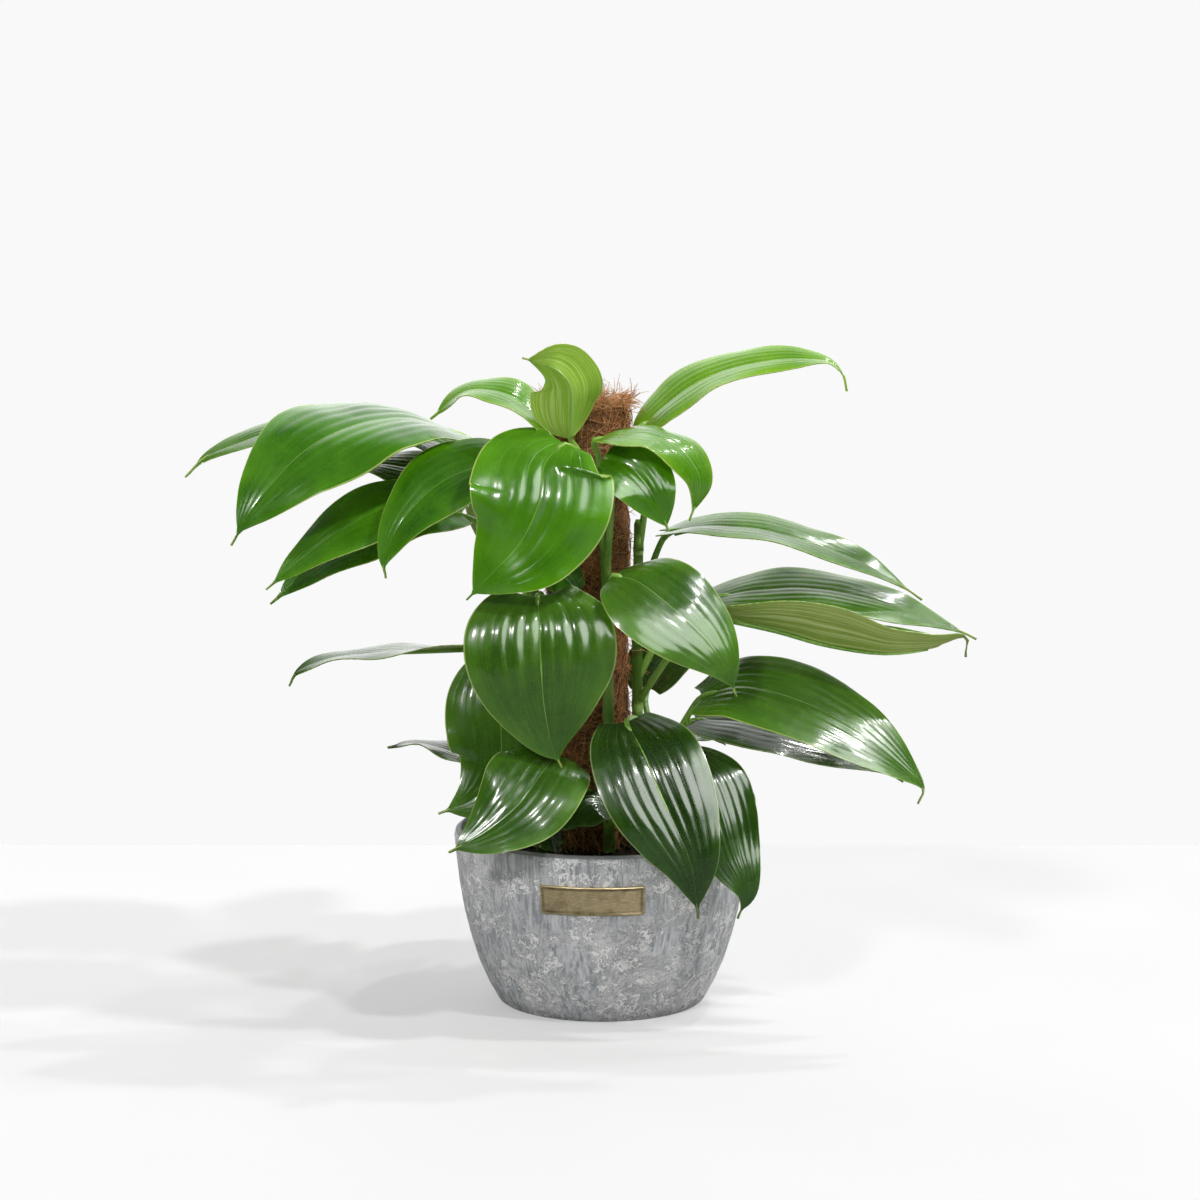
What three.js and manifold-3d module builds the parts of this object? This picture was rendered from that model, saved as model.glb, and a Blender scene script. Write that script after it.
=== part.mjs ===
// Dragon tail philodendron grown up a coir pole in a round bowl planter.
// Millimetres, +Z up. Origin: centre of the pot's flat underside.
import * as THREE from 'three';
import { mergeVertices } from 'three/addons/utils/BufferGeometryUtils.js';
import Module from 'manifold-3d';

const wasm = await Module();
wasm.setup();

// Clearance that touching pieces keep
const GAP = 0.3;

// Pot: outside profile as [radius, height], foot to lip
const POT_SIDES = 40;
const POT_HEIGHT = 119;
const POT_OUTSIDE = [
  [68.5, 0], [70.5, 1.5], [77, 13], [84, 29], [89.3, 46], [93.6, 64], [96.8, 83],
  [98.6, 99], [99.6, 109], [100, 114], [99.2, 117.2], [97, POT_HEIGHT],
];
const POT_WALL = 7.5;
const POT_FLOOR = 8;
const INSIDE_CORNER = 6;
const INSIDE_LIFT = 2;
const LIP_INSIDE = [[95.6, POT_HEIGHT], [94.2, POT_HEIGHT - 1], [93.6, POT_HEIGHT - 5]];

// Soil: its top as [radius, rise above the edge], mounded towards the pole
const SOIL_EDGE = 102.5;
const SOIL_RINGS = [[72, 1.5], [50, 4.5], [34, 6.5]];
const SOIL_CLEAR = 0.6;

// Pole: a stake wrapped in coir, whose lumps are [height, count round, turn per mm of rise]
const POLE_X = -10;
const POLE_Y = 0;
const POLE_RADIUS = 27.6;
const POLE_BOTTOM = 46;
const POLE_TOP = 410;
const POLE_SIDES = 18;
const POLE_RINGS = 20;
const COIR_END_TAPER = 2.5;
const COIR_LUMPS = [[1.1, 3, 0.05], [0.8, 5, -0.11]];
const CORE_RADIUS = 12;
const CORE_SIDES = 12;
const CORE_BOTTOM = 14;
const CORE_TOP = 404;
const CORE_POINT = { radius: 3, length: 14 };

// Plate on the pot's front
const PLATE_WIDTH = 68;
const PLATE_LOW = 79;
const PLATE_HIGH = 98.5;
const PLATE_THICK = 1.5;
const PLATE_OFFSET = -6.2;
const PLATE_STEPS = 10;

// Climbing stems: points [x, y, z] from the soil up, and the radius at foot and tip
const STEM_SIDES = 8;
const STEM_STEP = 36;
const STEM_END_SHARE = 0.8;
const STEMS = {
  front: {
    path: [[5, -33, 62], [5, -33, 140], [4, -33, 240], [2, -34, 320], [-4, -36, 368]], foot: 4.2, tip: 3.2,
  },
  right: { path: [[26, -12, 62], [25, -11, 140], [24, -10, 240], [25, -10, 330]], foot: 4.2, tip: 3.2 },
  left: { path: [[-45, -9, 62], [-45, -8, 140], [-45, -8, 250], [-46, -8, 346]], foot: 4.2, tip: 3.2 },
  back: { path: [[-13, 35, 62], [-14, 35, 150], [-13, 35, 250], [-13, 36, 350]], foot: 4.2, tip: 3.2 },
  low_right: { path: [[36, -26, 62], [37, -27, 120], [38, -28, 190]], foot: 4, tip: 3.2 },
  low_left: { path: [[-40, -34, 62], [-40, -34, 150], [-39, -35, 264]], foot: 4, tip: 3.2 },
};

// Leaf stalks
const STALK_SIDES = 5;
const STALK_STEPS = 5;
const STALK_RADIUS = { foot: 2.5, end: 1.8 };
const STALK_UNDER_BLADE = 0.1;

// Blades: egg-shaped, widest at SWELL / (SWELL + TAPER) of their body, with a long tip
const BLADE_THICK = 0.9;
const BLADE_ACROSS = 4;
const BLADE_ALONG = 9;
const SWELL = 0.5;
const TAPER = 0.95;
const BODY_SHARE = 0.95;
const DRIP_WIDTH = 0.07;
const TIP_WIDTH = 1.2;
const ROWS_CROWD_BASE = 0.35;
const LOBE_SHARE = 0.08;
const LOBE_REACH = 0.45;
const LOBE_ROUNDING = 1.6;
const LOBE_FADE = 1.5;
const BASE_NOTCH = 0.03;
const EDGE_WAVE = 1.5;
const WAVES = 2.2;
const WAVE_SHIFT = 0.3;

// The point that leaf places line up from. A place [x, z, depth] is where the point shows
// on the upright plane through the pot's axis, and how far behind that plane (+) it lies.
const EYE = new THREE.Vector3(-1, -2400, 631);

// Leaf colours by age
const TONES = {
  young: 0x6fae2c,
  bright: 0x3f8f12,
  green: 0x2f7423,
  dark: 0x1b4a1f,
};

// One row a leaf: the stem it grows on and from what height, the places its stalk passes,
// its midrib from base to tip, where its upper side faces, its width flat, and how its
// halves fold up (degrees) and curl (degrees over the half, negative downwards).
const LEAVES = [
  { name: 'leaf_01', tone: 'young', stem: 'front', from: 338, stalk: [[-12, 368, -44]],
    rib: [[-21, 383, -50], [-20, 402, -56], [-21, 419, -60], [-32, 431, -62], [-53, 437, -58]],
    face: [[-0.5, 1, 0], [-0.2, 1, 0.2], [0.3, 0.8, 0.6]], width: 58, fold: [46, 40, 16], curl: -16,
    lobe: 0.0 },
  { name: 'leaf_02', tone: 'young', stem: 'front', from: 327, stalk: [[-18, 364, -35]],
    rib: [[-33, 384, -40], [-46, 401, -38], [-66, 414, -32], [-92, 415, -24], [-114, 396, -20]],
    face: [[0, -0.1, 1], [0, -0.3, 1], [-0.4, -0.4, 0.8]], width: 42, fold: 14, curl: -20, lobe: 0.0 },
  { name: 'leaf_03', tone: 'young', stem: 'front', from: 351, stalk: [[-2, 370, -42]],
    rib: [[-5, 382, -47], [10, 386, -52], [34, 385, -58], [55, 374, -64], [66, 354, -66], [59, 328, -64]],
    face: [[0, -0.1, 1], [0.1, -0.2, 1], [0.6, -0.7, 0.9], [0.9, -0.9, 0.2]], width: 48, fold: 8,
    curl: -22, lobe: 0.0 },
  { name: 'leaf_04', tone: 'young', stem: 'right', from: 304, stalk: [[30, 352, -12]],
    rib: [[23, 387, -12], [42, 405, -12], [70, 424, -14], [108, 435, -18], [146, 436, -22],
      [160, 428, -24], [164, 415, -24]],
    face: [[0, -0.35, 1], [0, -0.4, 1], [0.5, -0.4, 1]], width: 50, fold: 14, curl: -22, lobe: 0.01 },
  { name: 'leaf_05', tone: 'bright', stem: 'front', from: 312, stalk: [[-12, 366, -52]],
    rib: [[-25, 380, -64], [-38, 366, -76], [-42, 340, -86], [-54, 314, -90], [-72, 294, -90],
      [-91, 274, -86]],
    face: [[0, -0.6, 1], [0, -1, 0.25], [-0.2, -1, 0.4]], width: 95, fold: 8, curl: [-14, -24, -24],
    lobe: 0.05 },
  { name: 'leaf_06', tone: 'bright', stem: 'front', from: 293, stalk: [[7, 350, -47]],
    rib: [[2, 370, -55], [16, 366, -62], [29, 354, -66], [38, 338, -66], [45, 321, -62]],
    face: [[0.1, -0.8, 0.7], [0.2, -1, 0.3], [0.2, -1, 0.2]], width: 45, fold: 14, curl: -20, lobe: 0.03 },
  { name: 'leaf_07', tone: 'bright', stem: 'left', from: 326, stalk: [[-48, 354, -22]],
    rib: [[-56, 367, -31], [-80, 366, -40], [-110, 352, -50], [-133, 328, -58], [-146, 302, -62],
      [-145, 289, -61]],
    face: [[0, -0.7, 1], [-0.3, -0.8, 0.7], [-0.6, -0.9, 0.2]], width: 58, fold: 12, curl: -20,
    lobe: 0.03 },
  { name: 'leaf_08', tone: 'bright', stem: 'left', from: 338, stalk: [[-68, 368, 14]],
    rib: [[-94, 386, 24], [-130, 397, 10], [-171, 390, -12], [-205, 370, -32], [-235, 335, -44],
      [-249, 311, -46]],
    face: [[0, 0, 1], [-0.1, -0.3, 1], [-0.3, -0.8, 0.6], [-0.4, -1, 0.1]], width: 106, fold: 8,
    curl: -22, lobe: 0.06 },
  { name: 'leaf_09', tone: 'green', stem: 'left', from: 314, stalk: [[-68, 353, 33]],
    rib: [[-90, 372, 52], [-128, 387, 62], [-176, 394, 62], [-220, 388, 52], [-262, 372, 38],
      [-279, 357, 30]],
    face: [[0, -0.2, 1], [0, -0.25, 1], [-0.5, -0.5, 0.8]], width: 58, fold: 12, curl: -22 },
  { name: 'leaf_10', tone: 'green', stem: 'left', from: 296, stalk: [[-61, 335, 18]],
    rib: [[-86, 357, 36], [-120, 362, 42], [-152, 366, 46], [-182, 364, 48]],
    face: [[0, -0.3, 1], [0, -0.32, 1]], width: 58, fold: 8, curl: -14 },
  { name: 'leaf_11', tone: 'bright', stem: 'left', from: 284, stalk: [[-70, 330, -12]],
    rib: [[-100, 346, -14], [-130, 342, -20], [-168, 326, -26], [-203, 301, -30], [-226, 281, -30]],
    face: [[0, -0.4, 1], [0, -0.8, 1], [-0.4, -0.8, 0.6]], width: 52, fold: 10, curl: -18 },
  { name: 'leaf_12', tone: 'bright', stem: 'left', from: 264, stalk: [[-66, 314, 4]],
    rib: [[-94, 332, 6], [-128, 331, 2], [-168, 314, -4], [-202, 290, -10], [-223, 271, -12]],
    face: [[0, -0.4, 1], [-0.1, -0.7, 1], [-0.4, -0.8, 0.6]], width: 56, fold: 10, curl: -18 },
  { name: 'leaf_13', tone: 'green', stem: 'left', from: 200, stalk: [[-60, 232, 12]],
    rib: [[-82, 242, 18], [-118, 240, 22], [-150, 238, 26], [-185, 234, 28], [-205, 225, 28],
      [-211, 215, 28]],
    face: [[0, 0.25, 1], [0, 0.0, 1], [0, -0.3, 1]], width: 52, fold: 10, curl: -16 },
  { name: 'leaf_14', tone: 'dark', stem: 'left', from: 128, stalk: [[-58, 150, 10]],
    rib: [[-72, 160, 16], [-96, 168, 20], [-124, 176, 22], [-145, 172, 22]],
    face: [[0, -0.1, 1], [0, 0.05, 1]], width: 44, fold: 8, curl: -14 },
  { name: 'leaf_15', tone: 'green', stem: 'low_left', from: 254, stalk: [[-40, 276, -56]],
    rib: [[-43, 276, -76], [-42, 258, -90], [-41, 232, -96], [-39, 203, -96], [-34, 176, -92],
      [-27, 159, -90]],
    face: [[0, -0.8, 0.7], [0, -1, 0.1], [0, -1, 0]], width: 100, fold: 8, curl: -22, lobe: 0.13 },
  { name: 'leaf_16', tone: 'green', stem: 'low_left', from: 206, stalk: [[-56, 228, -44]],
    rib: [[-69, 230, -47], [-70, 208, -56], [-68, 182, -61], [-70, 158, -64], [-86, 138, -68],
      [-111, 127, -70]],
    face: [[-0.2, -1, 0.5], [-0.1, -1, 0.1], [-0.2, -1, 0.3]], width: 74, fold: 10, curl: -20,
    lobe: 0.09 },
  { name: 'leaf_17', tone: 'green', stem: 'low_left', from: 144, stalk: [[-35, 163, -48]],
    rib: [[-30, 168, -70], [-40, 156, -93], [-56, 134, -103], [-78, 115, -108], [-104, 100, -108]],
    face: [[0, -0.8, 0.8], [-0.2, -1, 0.5], [-0.4, -1, 0.5]], width: 68, fold: 10, curl: -20,
    lobe: 0.0 },
  { name: 'leaf_18', tone: 'green', stem: 'front', from: 238, stalk: [[6, 276, -50]],
    rib: [[8, 291, -68], [25, 286, -82], [46, 270, -92], [68, 250, -97], [84, 228, -97], [91, 208, -95]],
    face: [[0, -0.7, 1], [0.2, -1, 0.6], [0.3, -1, 0.3]], width: 70, fold: 6, curl: -26, lobe: 0.02 },
  { name: 'leaf_19', tone: 'dark', stem: 'low_right', from: 172, stalk: [[30, 202, 10]],
    rib: [[31, 214, 26], [38, 230, 38], [50, 240, 54], [66, 238, 74], [84, 226, 90]],
    face: [[0, -0.4, 1], [0, -0.3, 1], [0, -0.1, 1]], width: 48, fold: 14, curl: -18 },
  { name: 'leaf_20', tone: 'green', stem: 'right', from: 268, stalk: [[37, 306, -8]],
    rib: [[45, 320, -8], [70, 324, -12], [110, 321, -18], [150, 310, -24], [185, 294, -28],
      [216, 274, -30]],
    face: [[0, -0.1, 1], [0, -0.3, 1], [0.3, -0.6, 1]], width: 46, fold: 14, curl: -18 },
  { name: 'leaf_21', tone: 'green', stem: 'right', from: 222, stalk: [[48, 262, -10]],
    rib: [[76, 276, -14], [110, 281, -20], [150, 281, -26], [190, 272, -32], [225, 260, -34],
      [253, 247, -34]],
    face: [[0, -0.4, 1], [0, -0.4, 1], [0.2, -0.6, 1]], width: 54, fold: 8, curl: -18 },
  { name: 'leaf_22', tone: 'green', stem: 'right', from: 206, stalk: [[56, 248, -30]],
    rib: [[84, 262, -40], [118, 254, -48], [152, 244, -56], [190, 238, -60], [222, 241, -58],
      [245, 248, -56], [246, 235, -55]],
    face: [[0, 0.1, 1], [0, 0.2, 1], [0, 0.1, 1]], width: 60, fold: [20, 50, 50, 30], curl: 6 },
  { name: 'leaf_23', tone: 'green', stem: 'low_right', from: 162, stalk: [[58, 194, -38]],
    rib: [[68, 208, -46], [95, 215, -54], [132, 206, -62], [168, 188, -70], [200, 164, -76],
      [218, 146, -76], [215, 134, -76]],
    face: [[0, -0.5, 1], [0.2, -0.8, 0.9], [0.5, -0.8, 0.5]], width: 68, fold: 8, curl: -20 },
  { name: 'leaf_24', tone: 'dark', stem: 'low_right', from: 150, stalk: [[54, 184, -14]],
    rib: [[64, 192, -16], [96, 190, -22], [135, 180, -28], [170, 168, -32], [205, 149, -34]],
    face: [[0, -0.3, 1], [0, -0.4, 1], [0.2, -0.4, 1]], width: 60, fold: 8, curl: -18 },
  { name: 'leaf_25', tone: 'dark', stem: 'low_right', from: 140, stalk: [[44, 172, 8]],
    rib: [[52, 181, 18], [64, 183, 30], [76, 181, 44], [84, 175, 56]],
    face: [[0, -0.1, 1], [0, -0.1, 1]], width: 40, fold: 8, curl: -14 },
  { name: 'leaf_26', tone: 'dark', stem: 'low_right', from: 178, stalk: [[24, 192, -56]],
    rib: [[17, 190, -76], [28, 170, -98], [40, 141, -112], [52, 115, -118], [62, 88, -120], [66, 54, -118]],
    face: [[0.1, -0.9, 0.7], [0.1, -1, 0.2], [0.1, -1, 0.1]], width: 74, fold: 8, curl: -20, lobe: 0.08 },
  { name: 'leaf_27', tone: 'dark', stem: 'low_right', from: 134, stalk: [[50, 164, -50]],
    rib: [[60, 166, -66], [73, 150, -80], [82, 125, -88], [90, 98, -92], [99, 72, -94], [93, 54, -94]],
    face: [[0.4, -1, 0.6], [0.5, -1, 0.2], [0.4, -1, 0]], width: 54, fold: 10, curl: -18 },
  { name: 'leaf_28', tone: 'dark', stem: 'low_right', from: 122, stalk: [[54, 150, -30]],
    rib: [[64, 156, -36], [80, 151, -42], [93, 140, -46], [100, 122, -48], [98, 112, -48]],
    face: [[0.3, -0.6, 1], [0.6, -0.6, 0.6], [0.9, -0.4, 0.1]], width: 36, fold: 10, curl: -18 },
  { name: 'leaf_29', tone: 'dark', stem: 'front', from: 116, stalk: [[8, 130, -50]],
    rib: [[4, 134, -58], [-8, 133, -64], [-20, 126, -70], [-31, 114, -74]],
    face: [[0, -0.7, 1], [-0.1, -0.9, 0.8]], width: 34, fold: 8, curl: -18 },
  { name: 'leaf_30', tone: 'dark', stem: 'low_left', from: 112, stalk: [[-30, 104, -50]],
    rib: [[-28, 108, -62], [-35, 113, -66], [-44, 117, -68], [-54, 113, -68]],
    face: [[0.1, -0.7, 1], [0.1, -0.7, 1]], width: 30, fold: 8, curl: -18 },
  { name: 'leaf_31', tone: 'bright', stem: 'front', from: 250, stalk: [[-8, 272, -38]],
    rib: [[-17, 280, -42], [-28, 291, -44], [-42, 297, -46], [-56, 293, -46]],
    face: [[0, -0.7, 1], [0, -0.7, 1]], width: 36, fold: 12, curl: -18 },
  { name: 'leaf_32', tone: 'green', stem: 'back', from: 340, stalk: [[-14, 358, 40]],
    rib: [[-13, 366, 50], [-14, 380, 84], [-18, 376, 120], [-24, 356, 150], [-28, 330, 164]],
    face: [[0, -0.2, 1], [0, 0.1, 1], [0, 0.8, 0.7]], width: 74, fold: 8, curl: -22 },
  { name: 'leaf_33', tone: 'green', stem: 'back', from: 238, stalk: [[-2, 258, 38]],
    rib: [[8, 266, 48], [26, 280, 74], [42, 276, 112], [54, 260, 142], [60, 240, 158]],
    face: [[0, 0, 1], [0.1, 0.2, 1], [0.3, 0.8, 0.7]], width: 70, fold: 8, curl: -22 },
  { name: 'leaf_34', tone: 'dark', stem: 'back', from: 132, stalk: [[0, 150, 38]],
    rib: [[8, 160, 46], [22, 176, 72], [36, 172, 112], [47, 152, 140], [52, 126, 152]],
    face: [[0, 0, 1], [0.1, 0.3, 1], [0.3, 0.9, 0.6]], width: 68, fold: 8, curl: -22 },
  { name: 'leaf_35', tone: 'green', stem: 'back', from: 312, stalk: [[-28, 334, 38]],
    rib: [[-38, 342, 46], [-52, 354, 72], [-66, 348, 108], [-76, 328, 134], [-80, 304, 148]],
    face: [[0, 0, 1], [-0.1, 0.2, 1], [-0.4, 0.8, 0.7]], width: 64, fold: 8, curl: -22 },
  { name: 'leaf_36', tone: 'green', stem: 'back', from: 206, stalk: [[-26, 228, 38]],
    rib: [[-32, 238, 46], [-46, 256, 72], [-58, 250, 110], [-66, 226, 138], [-70, 198, 152]],
    face: [[0, 0, 1], [-0.1, 0.2, 1], [-0.4, 0.8, 0.7]], width: 74, fold: 8, curl: -22 },
  { name: 'leaf_37', tone: 'dark', stem: 'back', from: 166, stalk: [[-16, 186, 40]],
    rib: [[-17, 196, 52], [-20, 208, 82], [-25, 202, 118], [-30, 178, 146], [-33, 148, 158]],
    face: [[0, 0, 1], [0, 0.3, 1], [0, 0.9, 0.6]], width: 72, fold: 8, curl: -22 },
  { name: 'leaf_38', tone: 'dark', stem: 'back', from: 122, stalk: [[-30, 140, 36]],
    rib: [[-38, 150, 42], [-50, 160, 66], [-64, 154, 96], [-74, 134, 122], [-80, 110, 134]],
    face: [[0, 0, 1], [-0.2, 0.3, 1], [-0.6, 0.8, 0.5]], width: 60, fold: 8, curl: -20 },
];

// Helpers

const radians = THREE.MathUtils.degToRad;
const FULL_TURN = 2 * Math.PI;

function seen([x, z, depth]) {
  const onPlane = new THREE.Vector3(x, 0, z);
  return onPlane.sub(EYE).multiplyScalar(1 - depth / EYE.y).add(EYE);
}

function curveOf(points) {
  return new THREE.CatmullRomCurve3(points, false, 'catmullrom', 0.5);
}

// Value at share v of a list of even stations, eased between neighbours.
function station(values, v) {
  const list = Array.isArray(values) ? values : [values];
  const place = THREE.MathUtils.clamp(v, 0, 1) * (list.length - 1);
  const i = Math.min(Math.floor(place), Math.max(list.length - 2, 0));
  const next = Math.min(i + 1, list.length - 1);
  const f = THREE.MathUtils.smoothstep(place - i, 0, 1);
  if (Array.isArray(list[0])) return list[i].map((a, k) => a + (list[next][k] - a) * f);
  return list[i] + (list[next] - list[i]) * f;
}

function geometryOf(positions, triangles) {
  const geometry = new THREE.BufferGeometry();
  geometry.setAttribute('position', new THREE.Float32BufferAttribute(positions, 3));
  geometry.setIndex(triangles);
  return geometry;
}

function solidOf(geometry) {
  const bare = geometry.clone();
  bare.deleteAttribute('normal');
  bare.deleteAttribute('uv');
  const merged = mergeVertices(bare, 1e-3);
  const mesh = new wasm.Mesh({
    numProp: 3,
    vertProperties: new Float32Array(merged.attributes.position.array),
    triVerts: new Uint32Array(merged.index.array),
  });
  return new wasm.Manifold(mesh);
}

function geometryFrom(solid) {
  const mesh = solid.getMesh();
  return geometryOf(Array.from(mesh.vertProperties), Array.from(mesh.triVerts));
}

function piece(name, geometry, colour, roughness, metalness = 0) {
  const material = new THREE.MeshStandardMaterial({ color: colour, roughness, metalness });
  const mesh = new THREE.Mesh(geometry, material);
  mesh.name = name;
  return mesh;
}

// A solid of revolution about +Z from a profile of [radius, height].
function lathe(profile, sides) {
  const points = profile.map(([r, z]) => new THREE.Vector2(r, z));
  return new THREE.LatheGeometry(points, sides).rotateX(Math.PI / 2);
}

// A plain round plug, standing on its bottom, about the pole's axis.
function polePlug(radius, bottom, top, sides) {
  const plug = lathe([[0, bottom], [radius, bottom], [radius, top], [0, top]], sides);
  return plug.translate(POLE_X, POLE_Y, 0);
}

// A closed tube along a curve, with its radius given by share of length.
function tube(curve, steps, sides, radiusAt) {
  const frames = curve.computeFrenetFrames(steps, false);
  const positions = [];
  const triangles = [];
  for (let i = 0; i <= steps; i++) {
    const centre = curve.getPointAt(i / steps);
    const radius = radiusAt(i / steps);
    for (let k = 0; k < sides; k++) {
      const turn = (FULL_TURN * k) / sides;
      const point = centre.clone();
      point.addScaledVector(frames.normals[i], radius * Math.cos(turn));
      point.addScaledVector(frames.binormals[i], radius * Math.sin(turn));
      positions.push(...point.toArray());
    }
  }
  const foot = positions.length / 3;
  const last = steps * sides;
  positions.push(...curve.getPointAt(0).toArray(), ...curve.getPointAt(1).toArray());
  for (let k = 0; k < sides; k++) {
    const next = (k + 1) % sides;
    triangles.push(foot, next, k, foot + 1, last + k, last + next);
    for (let i = 0; i < steps; i++) {
      const a = i * sides + k;
      const b = i * sides + next;
      triangles.push(a, b, b + sides, a, b + sides, a + sides);
    }
  }
  return geometryOf(positions, triangles);
}

// Pot, plate and soil

function potRadius(z) {
  const above = POT_OUTSIDE.findIndex(([, height]) => height > z);
  const [r0, z0] = POT_OUTSIDE[above - 1];
  const [r1, z1] = POT_OUTSIDE[above];
  return r0 + ((r1 - r0) * (z - z0)) / (z1 - z0);
}

// The inner wall follows the body of the outer one, and ends in a plain corner on the floor.
function potInside() {
  const body = POT_OUTSIDE.filter(([, z]) => z > POT_FLOOR && z < LIP_INSIDE[2][1] - POT_FLOOR);
  const wall = body.map(([r, z]) => [r - POT_WALL, z + INSIDE_LIFT]);
  return [[wall[0][0] - INSIDE_CORNER, POT_FLOOR], ...wall];
}

function makePot() {
  const inside = potInside().reverse();
  return lathe([[0, 0], ...POT_OUTSIDE, ...LIP_INSIDE, ...inside, [0, POT_FLOOR]], POT_SIDES);
}

// The plate follows the pot's curve, a hair in front of it.
function makePlate() {
  const middle = -Math.PI / 2 + PLATE_OFFSET / potRadius(PLATE_LOW);
  const span = PLATE_WIDTH / potRadius(PLATE_LOW);
  const corners = [[0, PLATE_LOW], [PLATE_THICK, PLATE_LOW], [PLATE_THICK, PLATE_HIGH], [0, PLATE_HIGH]];
  const positions = [];
  const triangles = [];
  for (let i = 0; i <= PLATE_STEPS; i++) {
    const turn = middle + span * (i / PLATE_STEPS - 0.5);
    for (const [out, z] of corners) {
      const radius = potRadius(z) + GAP + out;
      positions.push(radius * Math.cos(turn), radius * Math.sin(turn), z);
    }
  }
  for (let i = 0; i < PLATE_STEPS; i++) {
    for (let k = 0; k < 4; k++) {
      const a = i * 4 + k;
      const b = i * 4 + ((k + 1) % 4);
      triangles.push(a, a + 4, b + 4, a, b + 4, b);
    }
  }
  const end = PLATE_STEPS * 4;
  triangles.push(0, 1, 2, 0, 2, 3, end, end + 2, end + 1, end, end + 3, end + 2);
  return geometryOf(positions, triangles);
}

function makeSoil(holes) {
  const wall = potInside().map(([r, z]) => [r - SOIL_CLEAR, z + GAP]);
  const floor = wall[0][1];
  const edge = wall[wall.length - 1][0];
  const top = SOIL_RINGS.map(([r, rise]) => [r, SOIL_EDGE + rise]);
  const crown = top[top.length - 1][1];
  const body = solidOf(lathe([[0, floor], ...wall, [edge, SOIL_EDGE], ...top, [0, crown]], POT_SIDES));
  return geometryFrom(holes.reduce((soil, hole) => soil.subtract(hole), body));
}

// Pole

function makeCore() {
  const shoulder = CORE_BOTTOM + CORE_POINT.length;
  const profile = [[0, CORE_BOTTOM], [CORE_POINT.radius, CORE_BOTTOM], [CORE_RADIUS, shoulder],
    [CORE_RADIUS, CORE_TOP], [0, CORE_TOP]];
  return lathe(profile, CORE_SIDES).translate(POLE_X, POLE_Y, 0);
}

// How far the coir stands out of a true round, in lumps where the wrap is fuller.
function coirLump(turn, z) {
  const waves = COIR_LUMPS.map(([height, count, twist]) => height * Math.sin(count * turn + z * twist));
  return waves.reduce((sum, wave) => sum + wave, 0);
}

function makeCoir() {
  const bore = CORE_RADIUS + GAP;
  const profile = [[bore, POLE_BOTTOM]];
  for (let i = 0; i <= POLE_RINGS; i++) {
    const taper = i % POLE_RINGS === 0 ? COIR_END_TAPER : 0;
    profile.push([POLE_RADIUS - taper, POLE_BOTTOM + ((POLE_TOP - POLE_BOTTOM) * i) / POLE_RINGS]);
  }
  profile.push([bore, POLE_TOP], [bore, POLE_BOTTOM]);
  const geometry = lathe(profile, POLE_SIDES);
  const spots = geometry.attributes.position;
  for (let i = 0; i < spots.count; i++) {
    const x = spots.getX(i);
    const y = spots.getY(i);
    const radius = Math.hypot(x, y);
    if (radius < (bore + POLE_RADIUS) / 2) continue;
    const share = 1 + coirLump(Math.atan2(y, x), spots.getZ(i)) / radius;
    spots.setXY(i, x * share, y * share);
  }
  return geometry.translate(POLE_X, POLE_Y, 0);
}

// Stems

function stemCurve(stem) {
  return curveOf(stem.path.map((point) => new THREE.Vector3(...point)));
}

function makeStem(stem, extra) {
  const rise = stem.path[stem.path.length - 1][2] - stem.path[0][2];
  const steps = Math.ceil(rise / STEM_STEP);
  const radiusAt = (share) => {
    const straight = stem.foot + (stem.tip - stem.foot) * share;
    return extra + (share < 1 ? straight : straight * STEM_END_SHARE);
  };
  return tube(stemCurve(stem), steps, STEM_SIDES, radiusAt);
}

// The point of a stem's axis at a given height, found by halving.
function stemPoint(stem, height) {
  const curve = stemCurve(stem);
  let low = 0;
  let high = 1;
  for (let i = 0; i < 24; i++) {
    const middle = (low + high) / 2;
    if (curve.getPointAt(middle).z < height) low = middle;
    else high = middle;
  }
  return curve.getPointAt(low);
}

// Leaves

// Half width along the blade as a share of the widest.
function halfWidth(v) {
  const t = Math.min(v / BODY_SHARE, 1);
  const peak = SWELL / (SWELL + TAPER);
  const body = (t / peak) ** SWELL * ((1 - t) / (1 - peak)) ** TAPER;
  const drip = DRIP_WIDTH * (1 - v) * Math.min(v * 4, 1);
  return Math.hypot(body, drip);
}

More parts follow.
